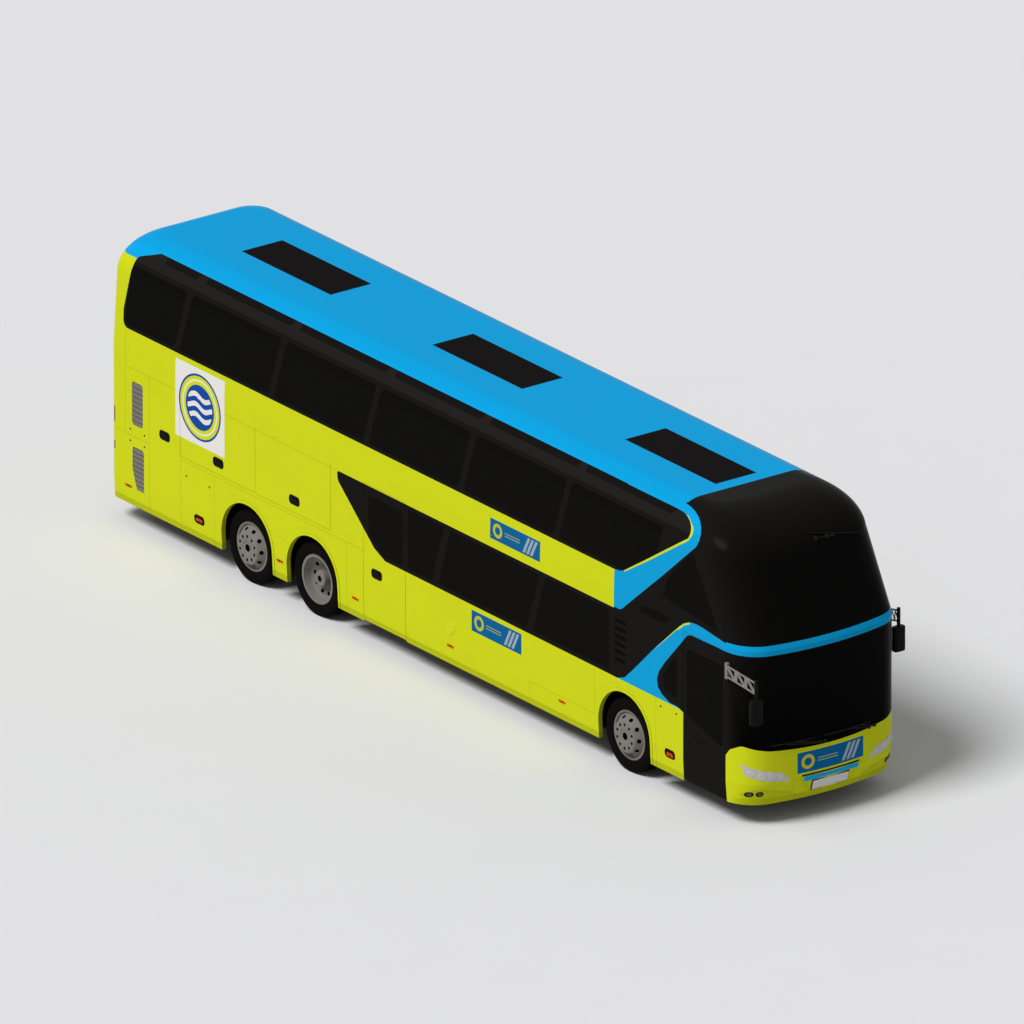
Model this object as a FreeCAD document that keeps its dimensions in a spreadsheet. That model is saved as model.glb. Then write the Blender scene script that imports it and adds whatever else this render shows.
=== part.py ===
import FreeCAD, Part
import math
import os
import re
from types import SimpleNamespace

import Sketcher

# Double-deck coach on three axles, in millimetres.
# X runs forward, Y to the coach's left and Z up. The origin lies on the ground
# under the middle of the overall length, mirrors included.

doc = FreeCAD.newDocument("Coach")
sheet = doc.addObject("Spreadsheet::Sheet", "Sizes")

# Every driving dimension, written once
SIZES = [
    # Overall
    ("body_length", 14000), ("body_width", 2550), ("body_height", 4000),
    ("mirror_reach", 250), ("front_overhang", 2750),
    ("wheelbase", 6770), ("tag_spacing", 1430),
    # Skin of the body
    ("skirt_low", 300), ("skirt_turn", 600), ("belt_low", 2380), ("belt_high", 2510),
    ("shoulder_low", 3500), ("skirt_tuck", 15), ("nose_tuck", 90), ("side_lean", 35),
    ("screen_lean", 470), ("tail_lean", 40), ("shoulder_side", 500), ("shoulder_nose", 760),
    ("shoulder_tail", 360), ("nose_bow", 4000), ("nose_corner", 500), ("crown_corner", 600),
    ("tail_corner", 180), ("roof_corner", 320), ("wall_thick", 60), ("glass_thick", 18),
    ("roof_edge", 1047), ("tail_seam", 250), ("roof_front", 900), ("front_seam", 2171),
    ("panel_gap", 6), ("overrun", 400), ("pillar_wide", 120), ("pane_low", 2800), ("pane_high", 3660),
    ("first_pillar", 1490), ("pillar_pitch", 2065), ("pillar_lean", 255), ("pane_round", 60),
    ("rear_pane_edge", 10860), ("front_pane_edge", -260),
    ("rear_glass_half", 980), ("tail_lamp_wide", 150),
    ("hatch_long", 1950), ("hatch_wide", 660), ("hatch_pitch", 4165), ("hatch_front", 690),
    # Doors and flaps
    ("door_rear_edge", 1265), ("door_long", 900), ("door_low", 320), ("door_high", 2372),
    ("aft_door_edge", 5650), ("aft_door_long", 910), ("aft_door_high", 2232), ("door_frame", 65),
    ("door_pane_rear", 1230), ("door_pane_front", 1020), ("door_pane_top", 2160),
    ("arm_long", 620), ("arm_wide", 24), ("arm_high", 40), ("post_radius", 22),
    ("post_in", 55), ("arm_in", 60), ("step_top", 405), ("step_thick", 60), ("arm_low", 620), ("arm_drop", 75), ("pin_radius", 9), ("lug_wide", 44),
    ("flap_low", 1335), ("flap_high", 2262), ("flap_front", 6370), ("flap_long", 1650),
    ("lid_half", 780), ("lid_low", 640), ("lid_high", 1900),
    # Grilles and lamps
    ("slat_pitch", 66), ("slat_thick", 50), ("grille_deep", 30),
    # Wheels
    ("tyre_radius", 505), ("tyre_wide", 300), ("tyre_bead", 312),
    ("tread_wide", 210), ("bead_wide", 232), ("twin_pitch", 335), ("wheel_out", 1215),
    ("rim_lip", 338), ("rim_wall", 12),
    ("disc_thick", 16), ("disc_proud", 208), ("disc_drop", 100), ("disc_flat", 205), ("disc_foot", 286),
    ("hub_radius", 110), ("hub_reach", 25), ("hub_out", 90), ("spindle_out", 60), ("vent_ring", 254),
    ("vent_radius", 25), ("lug_ring", 163), ("lug_radius", 20),
    ("arch_half", 557), ("arch_top", 1110),
    # Steering and axles
    ("king_in", 240), ("king_radius", 26), ("knuckle_wide", 110), ("knuckle_high", 160),
    ("fork_high", 40), ("fork_room", 30), ("spindle_radius", 40), ("axle_radius", 65), ("drive_radius", 95),
    ("bowl_radius", 230), ("run_gap", 6), ("pin_gap", 0.05), ("seat_gap", 0.3),
    # Frame, decks and inside
    ("rail_at", 400), ("rail_wide", 80), ("rail_high", 70), ("rail_low", 330), ("rail_top", 740),
    ("bellows_radius", 110), ("deck_thick", 60), ("house_half", 620), ("house_in", 560),
    ("house_wall", 12), ("upper_floor", 2300), ("seat_wide", 460), ("seat_deep", 450), ("seat_pitch", 880),
    ("aisle_half", 230), ("first_row", 900), ("driver_seat", 1150), ("console_deep", 420), ("console_high", 520),
    ("console_wide", 800), ("helm_radius", 225), ("helm_thick", 16), ("door_notch", 160),
    ("seat_back", 680), ("seat_up", 420), ("cushion_thick", 110), ("back_thick", 90),
    ("engine_long", 1300), ("engine_wide", 900), ("engine_high", 800),
    # Mirrors
    ("head_deep", 110), ("head_wide", 180), ("head_high", 340), ("head_round", 30), ("head_gap", 5),
    ("right_head_up", 1811), ("left_head_up", 1990), ("left_head_x", 2350), ("bracket_up", 2135),
    ("bracket_high", 170), ("bracket_thick", 24),
    # Trim on the skin
    ("trim_proud", 7), ("lip_wide", 40), ("barrel_radius", 7), ("barrel_long", 140),
    ("louvre_long", 230), ("louvre_high", 36), ("louvre_pitch", 108), ("louvre_top", 2070), ("louvre_at", 210),
    ("marker_long", 140), ("marker_high", 30), ("marker_up", 555),
]

for row, (alias, number) in enumerate(SIZES, start=1):
    sheet.set("A%d" % row, alias)
    sheet.set("B%d" % row, str(number))
    sheet.setAlias("B%d" % row, alias)
doc.recompute()
S = SimpleNamespace(**{alias: float(sheet.get(alias)) for alias, _ in SIZES})

HALF = S.body_width / 2
TAIL = -(S.body_length + S.mirror_reach) / 2
NOSE = TAIL + S.body_length
FRONT_AXLE = NOSE - S.front_overhang
DRIVE_AXLE = FRONT_AXLE - S.wheelbase
TAG_AXLE = DRIVE_AXLE - S.tag_spacing
BELT = (S.belt_low + S.belt_high) / 2
FRONT_TEXT = "(body_length - mirror_reach) / 2 - front_overhang"
PIECES = []


# Small helpers for the document

def cells(text):
    """Turn each named size in a formula into a reference to its cell."""
    names = dict(SIZES)
    return re.sub(r"[a-z][a-z_]+", lambda word: "Sizes." + word.group(0)
                  if word.group(0) in names else word.group(0), text)


def bind(item, links):
    """Tie properties of an object to formulas of named sizes."""
    for target, text in links.items():
        item.setExpression(target, cells(text))


def spot(item, along="0", across="0", up="0"):
    """Place an object by three formulas."""
    bind(item, {"Placement.Base.x": along, "Placement.Base.y": across, "Placement.Base.z": up})


def block(name, long, wide, high, along, across, up):
    """A box from its lowest corner."""
    item = doc.addObject("Part::Box", name)
    bind(item, {"Length": long, "Width": wide, "Height": high})
    spot(item, along, across, up)
    return item


def rod(name, radius, high, along, across, up, turn=None):
    """A cylinder that stands on its base centre, or lies along Y or X."""
    item = doc.addObject("Part::Cylinder", name)
    if turn:
        item.Placement = FreeCAD.Placement(FreeCAD.Vector(), FreeCAD.Rotation(turn, 90))
    bind(item, {"Radius": radius, "Height": high})
    spot(item, along, across, up)
    return item


def piece(item, label):
    """Name an object as one piece of the coach."""
    item.Label = label
    PIECES.append(item)
    return item


def feature(label, shape):
    """A piece whose shape Part's own functions make."""
    item = doc.addObject("Part::Feature", label)
    item.Shape = shape
    return piece(item, label)


def joined(name, items):
    """One solid from several."""
    item = doc.addObject("Part::MultiFuse", name)
    item.Shapes = items
    item.Refine = True
    return item


def together(name, items):
    """Solids that stay apart in one piece."""
    item = doc.addObject("Part::Compound", name)
    item.Links = items
    return item


def minus(name, base, tool):
    item = doc.addObject("Part::Cut", name)
    item.Base = base
    item.Tool = tool
    return item


def origin_plane(body, role):
    return [part for part in body.Origin.OriginFeatures if part.Role == role][0]


def draw(sketch, points):
    """A closed polygon whose corners are held by formulas."""
    rough = [FreeCAD.Vector(math.cos(k), math.sin(k), 0) * S.tyre_radius for k in range(len(points))]
    for k, corner in enumerate(rough):
        sketch.addGeometry(Part.LineSegment(corner, rough[(k + 1) % len(points)]))
    for k in range(len(points)):
        sketch.addConstraint(Sketcher.Constraint("Coincident", k, 2, (k + 1) % len(points), 1))
    for k, (across, up) in enumerate(points):
        for kind, text, value in (("DistanceX", across, rough[k].x), ("DistanceY", up, rough[k].y)):
            line = sketch.addConstraint(Sketcher.Constraint(kind, -1, 1, k, 1, value))
            sketch.setExpression("Constraints[%d]" % line, cells(text))


def sketch_on(body, role, points):
    sketch = body.newObject("Sketcher::SketchObject", body.Name + "_outline")
    sketch.AttachmentSupport = [(origin_plane(body, role), "")]
    sketch.MapMode = "FlatFace"
    draw(sketch, points)
    return sketch


def turned(name, points):
    """A body of revolution about Y, from radius and offset pairs."""
    body = doc.addObject("PartDesign::Body", name)
    sketch = sketch_on(body, "XY_Plane", points)
    turn = body.newObject("PartDesign::Revolution", name + "_turn")
    turn.Profile = sketch
    turn.ReferenceAxis = (sketch, ["V_Axis"])
    turn.Angle = 360
    sketch.Visibility = False
    doc.recompute()
    return body


def padded(name, points, wide, role="XZ_Plane"):
    """A body of constant width, its outline in the length and height plane."""
    body = doc.addObject("PartDesign::Body", name)
    sketch = sketch_on(body, role, points)
    pad = body.newObject("PartDesign::Pad", name + "_pad")
    pad.Profile = sketch
    pad.Midplane = True
    bind(pad, {"Length": wide})
    doc.recompute()
    return body


# The skin: plan outlines lofted up the body

def outline(level, half, nose, tail, bow, nose_round, tail_round):
    """Plan outline at one height: straight sides, bowed nose and round corners."""
    centre = nose - bow
    reach = math.sqrt((bow - nose_round) ** 2 - (half - nose_round) ** 2)
    turn = math.atan2(half - nose_round, reach)
    corner = centre + reach

    def point(x, y):
        return FreeCAD.Vector(x, y, level)

    def nose_point(side, angle):
        return point(corner + nose_round * math.cos(angle), side * (half - nose_round + nose_round * math.sin(angle)))

    quarter = math.pi / 2
    middle = (turn + quarter) / 2
    slant = tail_round * (1 - math.sqrt(0.5))
    edges = [
        Part.LineSegment(point(tail + tail_round, -half), point(corner, -half)).toShape(),
        Part.Arc(point(corner, -half), nose_point(-1, middle), nose_point(-1, turn)).toShape(),
        Part.Arc(nose_point(-1, turn), point(nose, 0), nose_point(1, turn)).toShape(),
        Part.Arc(nose_point(1, turn), nose_point(1, middle), point(corner, half)).toShape(),
        Part.LineSegment(point(corner, half), point(tail + tail_round, half)).toShape(),
        Part.Arc(point(tail + tail_round, half), point(tail + slant, half - slant),
                 point(tail, half - tail_round)).toShape(),
        Part.LineSegment(point(tail, half - tail_round), point(tail, tail_round - half)).toShape(),
        Part.Arc(point(tail, tail_round - half), point(tail + slant, slant - half),
                 point(tail + tail_round, -half)).toShape(),
    ]
    return Part.Wire(edges)


CROWN_STEPS = 6


def skin(depth):
    """The body's closed form, a given depth inside its outer surface."""
    low = outline(S.skirt_low - depth, HALF - S.skirt_tuck - depth, NOSE - S.nose_tuck - depth, TAIL + depth,
                  S.nose_bow - depth, S.nose_corner - depth, S.tail_corner - depth)
    turn = outline(S.skirt_turn, HALF - depth, NOSE - depth, TAIL + depth,
                   S.nose_bow - depth, S.nose_corner - depth, S.tail_corner - depth)
    belt = outline(BELT, HALF - depth, NOSE - depth, TAIL + depth,
                   S.nose_bow - depth, S.nose_corner - depth, S.tail_corner - depth)
    rings = []
    rise = S.body_height - S.shoulder_low
    straight = S.shoulder_low - BELT
    for step in range(CROWN_STEPS + 1):
        angle = math.pi / 2 * step / CROWN_STEPS
        level = S.shoulder_low + (rise - depth) * math.sin(angle)
        share = step / CROWN_STEPS
        lean = (level - BELT) / straight
        rings.append(outline(
            level,
            HALF - S.side_lean * lean - S.shoulder_side + (S.shoulder_side - depth) * math.cos(angle),
            NOSE - S.screen_lean * lean - S.shoulder_nose + (S.shoulder_nose - depth) * math.cos(angle),
            TAIL + S.tail_lean * lean + S.shoulder_tail - (S.shoulder_tail - depth) * math.cos(angle),
            S.nose_bow - depth,
            S.crown_corner + (S.roof_corner - S.crown_corner) * share - depth,
            S.tail_corner + (S.roof_corner - S.tail_corner) * share - depth))
    lower = Part.makeLoft([low, turn, belt], True, True)
    upper = Part.makeLoft([belt, rings[0]], True, True)
    crown = Part.makeLoft(rings, True, False)
    return lower.fuse([upper, crown]).removeSplitter()


def corner_points(shares):
    """Outline corners in the side view, as shares of wheelbase and height."""
    return [(FRONT_AXLE + along * S.wheelbase, up * S.body_height, around * S.body_height)
            for along, up, around in shares]


def rounded_wire(points, lift=0):
    """A closed wire in the side view with an arc at each corner that has a radius."""
    spots = [FreeCAD.Vector(x, lift, z) for x, z, _ in points]
    edges = []
    ends = []
    for k, middle in enumerate(spots):
        before = (spots[k - 1] - middle)
        after = (spots[(k + 1) % len(spots)] - middle)
        radius = points[k][2]
        if radius <= 0:
            ends.append((middle, middle))
            continue
        angle = before.getAngle(after)
        back = radius / math.tan(angle / 2)
        limit = min(before.Length, after.Length) * 0.49
        if back > limit:
            radius *= limit / back
            back = limit
        before.normalize()
        after.normalize()
        start = middle + before * back
        finish = middle + after * back
        axis = before + after
        axis.normalize()
        centre = middle + axis * (radius / math.sin(angle / 2))
        edges.append(Part.Arc(start, centre - axis * radius, finish).toShape())
        ends.append((start, finish))
    for k, (start, finish) in enumerate(ends):
        nxt = ends[(k + 1) % len(ends)][0]
        if finish.distanceToPoint(nxt) > S.pin_gap:
            edges.append(Part.LineSegment(finish, nxt).toShape())
    return Part.Wire(Part.__sortEdges__(edges))


def side_prism(points, side, inner=0.0):
    """Extrude a side-view outline outwards from a distance off the centre line."""
    face = Part.Face(rounded_wire(points, side * inner))
    return face.extrude(FreeCAD.Vector(0, side * (HALF + S.overrun - inner), 0))


def solid_box(low_x, high_x, low_y, high_y, low_z, high_z):
    return Part.makeBox(high_x - low_x, high_y - low_y, high_z - low_z, FreeCAD.Vector(low_x, low_y, low_z))


def side_box(low_x, high_x, low_z, high_z, side, inner):
    """A box through one side wall."""
    low_y, high_y = sorted((side * inner, side * (HALF + S.overrun)))
    return solid_box(low_x, high_x, low_y, high_y, low_z, high_z)


# Outlines in the side view: share of wheelbase from the front axle, share of height, corner share
UPPER_GLASS_SHARES = (
    (-1.6145, 0.6875, 0.0250), (-0.0199, 0.6875, 0.0625), (0.1965, 0.9100, 0.0150), (0.1890, 0.9450, 0.0250),
    (0.1600, 0.9680, 0.0400), (0.1200, 0.9800, 0.0200), (0.0900, 0.9925, 0), (-1.4948, 0.9925, 0.0300), (-1.5864, 0.9400, 0.0250), (-1.6145, 0.7500, 0.0500),
)
LOWER_GLASS_SHARES = (
    (-0.9202, 0.5553, 0.0100), (-0.9173, 0.5220, 0.0250), (-0.8006, 0.3480, 0.0300), (-0.7651, 0.3205, 0.0250),
    (-0.0236, 0.3180, 0.0300), (0.0000, 0.3305, 0.0300), (0.1684, 0.5965, 0.0350), (0.2068, 0.6390, 0.0500),
    (0.3400, 0.6300, 0), (0.3400, 0.6500, 0), (0.2372, 0.9238, 0), (0.0078, 0.5887, 0.0350),
    (-0.0177, 0.5553, 0.0250),
)
DOOR_GLASS_SHARES = (
    (0.1860, 0.3113, 0), (0.1551, 0.3275, 0.0200), (0.1182, 0.3500, 0.0300), (0.1034, 0.3875, 0.0250),
    (0.1891, 0.5725, 0.0300), (0.2127, 0.5925, 0.0300), (0.3400, 0.5938, 0), (0.3400, 0.3113, 0),
)
SMALL_PANE_SHARES = (
    (0.1211, 0.4000, 0.0200), (0.1270, 0.3550, 0.0100), (0.1654, 0.3500, 0.0100), (0.1684, 0.4900, 0.0075),
    (0.1566, 0.4900, 0.0100),
)
QUARTER_PANE_SHARES = (
    (0.2024, 0.8550, 0.0075), (0.1374, 0.7550, 0.0100), (0.1226, 0.6750, 0.0100), (0.2925, 0.6500, 0.0075),
)
REAR_PANE_SHARES = (
    (-0.8195, 0.5230, 0.0125), (-0.8195, 0.4150, 0.0125), (-0.7740, 0.3450, 0.0200), (-0.7088, 0.3380, 0.0125),
    (-0.7088, 0.5230, 0.0125),
)
GRILLE_SHARES = (
    ((-1.5845, 0.3625, 0.0100), (-1.5495, 0.3625, 0.0100), (-1.5495, 0.5125, 0.0100), (-1.5845, 0.5125, 0.0100)),
    ((-1.5832, 0.2075, 0.0100), (-1.5738, 0.1600, 0), (-1.5687, 0.1400, 0), (-1.5462, 0.1400, 0),
     (-1.5462, 0.2845, 0.0100), (-1.5832, 0.2845, 0.0100)),
)
TAIL_LAMP_SHARES = ((0.245, 0.274), (0.340, 0.394))
SCREEN_SHARES = (
    (0.1329, 1.0250, 0), (0.1329, 0.9860, 0), (0.1724, 0.9815, 0.0200), (0.2080, 0.9640, 0.0300),
    (0.2240, 0.9250, 0.0300), (0.2109, 0.8854, 0), (0.3028, 0.6500, 0.0050), (0.3207, 0.6275, 0),
    (0.4727, 0.6275, 0), (0.4727, 1.0250, 0),
)
LOWER_PANES_SHARES = (
    ((-0.6913, 0.3343, 0.0125), (-0.6160, 0.3343, 0.0125), (-0.5746, 0.5415, 0.0125), (-0.6913, 0.5415, 0.0125)),
    ((-0.5938, 0.3343, 0.0125), (-0.3131, 0.3343, 0.0125), (-0.2688, 0.5415, 0.0125), (-0.5554, 0.5415, 0.0125)),
    ((-0.2910, 0.3343, 0.0125), (-0.0487, 0.3343, 0.0125), (-0.0487, 0.5415, 0.0125), (-0.2526, 0.5415, 0.0125)),
)
BUMPER_TOP_SHARES = (
    (0.3207, 0.2375, 0), (0.3323, 0.2625, 0.0125), (0.3575, 0.2838, 0.0250), (0.3840, 0.2700, 0.0250),
    (0.4136, 0.2500, 0),
)

OUTER = skin(0)
BEHIND_GLASS = skin(S.glass_thick)
INSIDE = skin(S.wall_thick)
SHELL = OUTER.cut(INSIDE)
GLASS_SHELL = OUTER.cut(BEHIND_GLASS)

FRONT_CUT = FRONT_AXLE + S.front_seam
TAIL_CUT = TAIL + S.tail_seam
ROOF_CUT = FRONT_AXLE + S.roof_front


def arch(axle, side, grow=0.0):
    """The opening over one wheel: half round above a straight skirt."""
    wide = S.arch_half + grow
    rise = S.arch_top - S.tyre_radius + grow
    points = [(axle - wide, S.skirt_low - S.overrun, 0), (axle - wide, S.tyre_radius + rise, rise * 0.95),
              (axle + wide, S.tyre_radius + rise, rise * 0.95), (axle + wide, S.skirt_low - S.overrun, 0)]
    return side_prism(points, side, S.house_in)


FRONT_DOOR_EDGE = FRONT_AXLE + S.door_rear_edge
AFT_DOOR_EDGE = FRONT_AXLE - S.aft_door_edge
BAYS = 6
RIGHT_INNER = HALF - S.wall_thick * 3
DOOR_INNER = HALF - S.wall_thick * 2


def upper_panes():
    """The leaning window holes of the upper deck, on the right side."""
    half_pillar = S.pillar_wide / 2
    rise = S.pane_high - S.pane_low
    low, high, around = S.pane_low, S.pane_high, S.pane_round
    holes = []
    for bay in range(BAYS - 1):
        pillar = FRONT_AXLE - S.first_pillar - S.pillar_pitch * bay
        rear = pillar - S.pillar_pitch + half_pillar
        rear_lean = S.pillar_lean
        if bay == BAYS - 2:
            rear = FRONT_AXLE - S.rear_pane_edge
            rear_lean = S.pillar_lean * 0.6
        front = pillar - half_pillar
        holes.append([(rear, low, around), (front, low, around),
                      (front + S.pillar_lean, high, around), (rear + rear_lean, high, around)])
    first = FRONT_AXLE - S.first_pillar + half_pillar
    front = FRONT_AXLE + S.front_pane_edge
    holes.append([(first, low, around), (front - around, low, around), (front + rise, high - rise / 2, around),
                  (front + rise * 1.1, high, around), (first + S.pillar_lean, high, around)])
    return [side_prism(points, -1, RIGHT_INNER) for points in holes]


def lower_panes(with_rear):
    outlines = list(LOWER_PANES_SHARES) + [SMALL_PANE_SHARES, QUARTER_PANE_SHARES]
    if with_rear:
        outlines.append(REAR_PANE_SHARES)
    return [side_prism(corner_points(shares), -1, RIGHT_INNER) for shares in outlines]


def glass_areas(inner):
    return [side_prism(corner_points(shares), -1, inner)
            for shares in (UPPER_GLASS_SHARES, LOWER_GLASS_SHARES, DOOR_GLASS_SHARES)]


def screen_region():
    face = Part.Face(rounded_wire(corner_points(SCREEN_SHARES), -HALF - S.overrun))
    return face.extrude(FreeCAD.Vector(0, S.body_width + S.overrun * 2, 0))


SCREEN = screen_region()


def right_box(low_x, high_x, low_z, high_z, inner=DOOR_INNER):
    return side_box(low_x, high_x, low_z, high_z, -1, inner)


def grille_prism(shares, inset=0.0):
    """One grille outline through the right wall, its corners moved inwards by an inset."""
    points = corner_points(shares)
    middle_x = (min(x for x, _, _ in points) + max(x for x, _, _ in points)) / 2
    middle_z = (min(z for _, z, _ in points) + max(z for _, z, _ in points)) / 2
    return side_prism([(x + math.copysign(inset, middle_x - x), z + math.copysign(inset, middle_z - z), around)
                       for x, z, around in points], -1, DOOR_INNER)


def flap_box(turn, gap=0.0):
    front = FRONT_AXLE - S.flap_front - turn * S.flap_long - S.panel_gap / 2
    rear = front - S.flap_long + S.panel_gap
    top = S.flap_high + (S.seat_gap if gap else 0)
    return right_box(rear - gap, front + gap, S.flap_low - gap, top)


def front_door_box(gap=0.0):
    return right_box(FRONT_DOOR_EDGE - gap, FRONT_DOOR_EDGE + S.door_long + gap, S.door_low - gap, S.door_high + gap)


def aft_door_box(gap=0.0):
    return right_box(AFT_DOOR_EDGE - gap, AFT_DOOR_EDGE + S.aft_door_long + gap,
                     S.door_low - gap, S.aft_door_high + gap)


def doorways():
    """Door openings, open at the bottom."""
    gap = S.panel_gap
    low = S.skirt_low - S.overrun
    return [right_box(FRONT_DOOR_EDGE - gap, FRONT_CUT + gap, low, S.door_high + gap),
            right_box(AFT_DOOR_EDGE - gap, AFT_DOOR_EDGE + S.aft_door_long + gap, low, S.aft_door_high + gap)]


ARCH_AXLES = (FRONT_AXLE, DRIVE_AXLE, TAG_AXLE)
PROUD_SHELL = skin(-S.trim_proud).cut(OUTER)


def arch_lips():
    """Raised edges round the wheel openings, down to the foot of the skirt."""
    above = right_box(TAIL_CUT, FRONT_CUT, S.skirt_low, S.body_height)
    return [PROUD_SHELL.common(arch(axle, -1, S.lip_wide)).common(above) for axle in ARCH_AXLES]


def hinge_barrels(radius):
    """Knuckles round the fold lines at the top edges of the right flaps."""
    barrels = []
    for turn in range(2):
        front = FRONT_AXLE - S.flap_front - turn * S.flap_long
        for share in (0.25, 0.75):
            start = front - S.flap_long * share - S.barrel_long / 2
            barrels.append(Part.makeCylinder(radius, S.barrel_long, FreeCAD.Vector(start, -HALF, S.flap_high),
                                             FreeCAD.Vector(1, 0, 0)))
    return barrels


SIDE_REGION = right_box(TAIL_CUT, FRONT_CUT, S.skirt_low - S.overrun, S.body_height + S.overrun, S.roof_edge)
GLASS_AREAS = glass_areas(S.roof_edge)
GLASS_POCKETS = [area.cut(BEHIND_GLASS) for area in glass_areas(S.roof_edge - S.wall_thick)]
SIDE_GLASS = GLASS_SHELL.common(SIDE_REGION).cut(SCREEN)


def wall(with_doors):
    """The right side wall with arches, doors, flaps, glass recess and window holes."""
    shape = SHELL.common(SIDE_REGION).cut(SCREEN)
    for lip in arch_lips():
        shape = shape.fuse(lip)
    shape = shape.removeSplitter()
    cuts = GLASS_POCKETS + [arch(axle, -1) for axle in ARCH_AXLES]
    cuts += upper_panes() + lower_panes(not with_doors)
    cuts += [flap_box(turn, S.panel_gap) for turn in range(2)] + hinge_barrels(S.barrel_radius + S.seat_gap)
    if with_doors:
        cuts += [grille_prism(shares) for shares in GRILLE_SHARES] + doorways()
    for tool in cuts:
        shape = shape.cut(tool)
    return shape


def flush_glass(with_doors):
    """The bonded dark glass of the right side."""
    base = SIDE_GLASS.cut(doorways()) if with_doors else SIDE_GLASS
    return Part.makeCompound([solid for area in GLASS_AREAS for solid in base.common(area).Solids])


def mirrored(shape):
    return shape.mirror(FreeCAD.Vector(), FreeCAD.Vector(0, 1, 0))


feature("wall_right", wall(True))
feature("wall_left", mirrored(wall(False)))
feature("side_glass_right", flush_glass(True))
feature("side_glass_left", mirrored(flush_glass(False)))


# Roof, ends and screens

def across_box(low_x, high_x, half, low_z, high_z):
    return solid_box(low_x, high_x, -half, half, low_z, high_z)


def hatches(inset, base):
    """The three flush roof hatches, or their openings when inset."""
    shapes = []
    for turn in range(3):
        front = FRONT_AXLE + S.hatch_front - turn * S.hatch_pitch
        shapes.append(base.common(across_box(front - S.hatch_long + inset, front - inset, S.hatch_wide / 2 - inset,
                                             S.shoulder_low + S.wall_thick, S.body_height + S.overrun)))
    return shapes


def roof():
    high = S.body_height + S.overrun
    shape = SHELL.common(across_box(TAIL_CUT, NOSE, S.roof_edge, S.shoulder_low + S.wall_thick, high)).cut(SCREEN)
    return shape.cut(hatches(0, GLASS_SHELL) + hatches(S.wall_thick, SHELL))


feature("roof_panel", roof())
feature("skylights", Part.makeCompound([solid for hatch in hatches(0, GLASS_SHELL) for solid in hatch.Solids]))

WHOLE = HALF + S.overrun
REAR_END = across_box(TAIL - S.overrun, TAIL_CUT, WHOLE, S.skirt_low - S.overrun, S.body_height + S.overrun)


def rear_glass_box(inset=0.0):
    return across_box(TAIL - S.overrun, TAIL + S.wall_thick * 2, S.rear_glass_half - inset,
                      S.pane_low - S.pane_round / 2 + inset, S.pane_high + S.pane_round / 2 - inset)


def lid_box(gap=0.0):
    top = S.lid_high + (S.seat_gap if gap else 0)
    return across_box(TAIL - S.overrun, TAIL + S.wall_thick * 2, S.lid_half + gap, S.lid_low - gap, top)


def lid_barrels(radius):
    """Knuckles round the fold line at the top edge of the engine lid."""
    return [Part.makeCylinder(radius, S.barrel_long, FreeCAD.Vector(TAIL, side * S.lid_half / 2 - S.barrel_long / 2,
                                                                    S.lid_high), FreeCAD.Vector(0, 1, 0))
            for side in (-1, 1)]


def tail_lamp_boxes():
    low_y = HALF - S.tail_lamp_wide
    return [solid_box(TAIL - S.overrun, TAIL + S.tail_lamp_wide, low, high, S.body_height * foot, S.body_height * top)
            for low, high in ((-WHOLE, -low_y), (low_y, WHOLE)) for foot, top in TAIL_LAMP_SHARES]


rear_panes = GLASS_SHELL.common(rear_glass_box())
tail_lamps = [GLASS_SHELL.common(box) for box in tail_lamp_boxes()]
feature("rear_wall", SHELL.common(REAR_END).cut([rear_panes, SHELL.common(rear_glass_box(S.wall_thick)),
                                                 lid_box(S.panel_gap)] + tail_lamps
                                                + lid_barrels(S.barrel_radius + S.seat_gap)))
feature("rear_glass", rear_panes)
feature("tail_lamps", Part.makeCompound(tail_lamps))
feature("engine_lid", SHELL.common(lid_box()).fuse(lid_barrels(S.barrel_radius)))


def front_region(low, high):
    return across_box(FRONT_CUT, NOSE + S.overrun, WHOLE, low, high)


def bumper_region():
    corners = corner_points(BUMPER_TOP_SHARES)
    base = S.skirt_low - S.overrun
    points = [(FRONT_CUT, base, 0), (FRONT_CUT, corners[0][1], 0)] + corners[1:] + [(corners[-1][0], base, 0)]
    face = Part.Face(rounded_wire(points, -WHOLE))
    return face.extrude(FreeCAD.Vector(0, WHOLE * 2, 0))


def headlamp_areas():
    """Swept lamp outlines in the front view, on both sides."""
    areas = []
    for side in (-1, 1):
        corners = [FreeCAD.Vector(NOSE - S.nose_corner * 1.2, side * across * HALF, up * S.body_height)
                   for across, up in HEADLAMP_SHARES]
        face = Part.Face(Part.makePolygon(corners + corners[:1]))
        areas.append(face.extrude(FreeCAD.Vector(S.nose_corner * 2, 0, 0)))
    return areas


HEADLAMP_SHARES = ((0.493, 0.151), (0.749, 0.162), (0.913, 0.179), (0.958, 0.2197), (0.796, 0.199), (0.588, 0.186),
                   (0.52, 0.165))
BUMPER_REGION = bumper_region()
headlamps = [GLASS_SHELL.common(area) for area in headlamp_areas()]
feature("front_bumper", SHELL.common(BUMPER_REGION).cut(headlamps))
feature("headlamps", Part.makeCompound(headlamps))
feature("front_belt", SHELL.common(front_region(S.belt_low, S.belt_high)))
feature("windscreen_lower", GLASS_SHELL.common(front_region(S.skirt_low, S.belt_low)).cut(BUMPER_REGION))
feature("windscreen_upper", GLASS_SHELL.common(SCREEN))


# Doors, their arms and the luggage flaps

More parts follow.
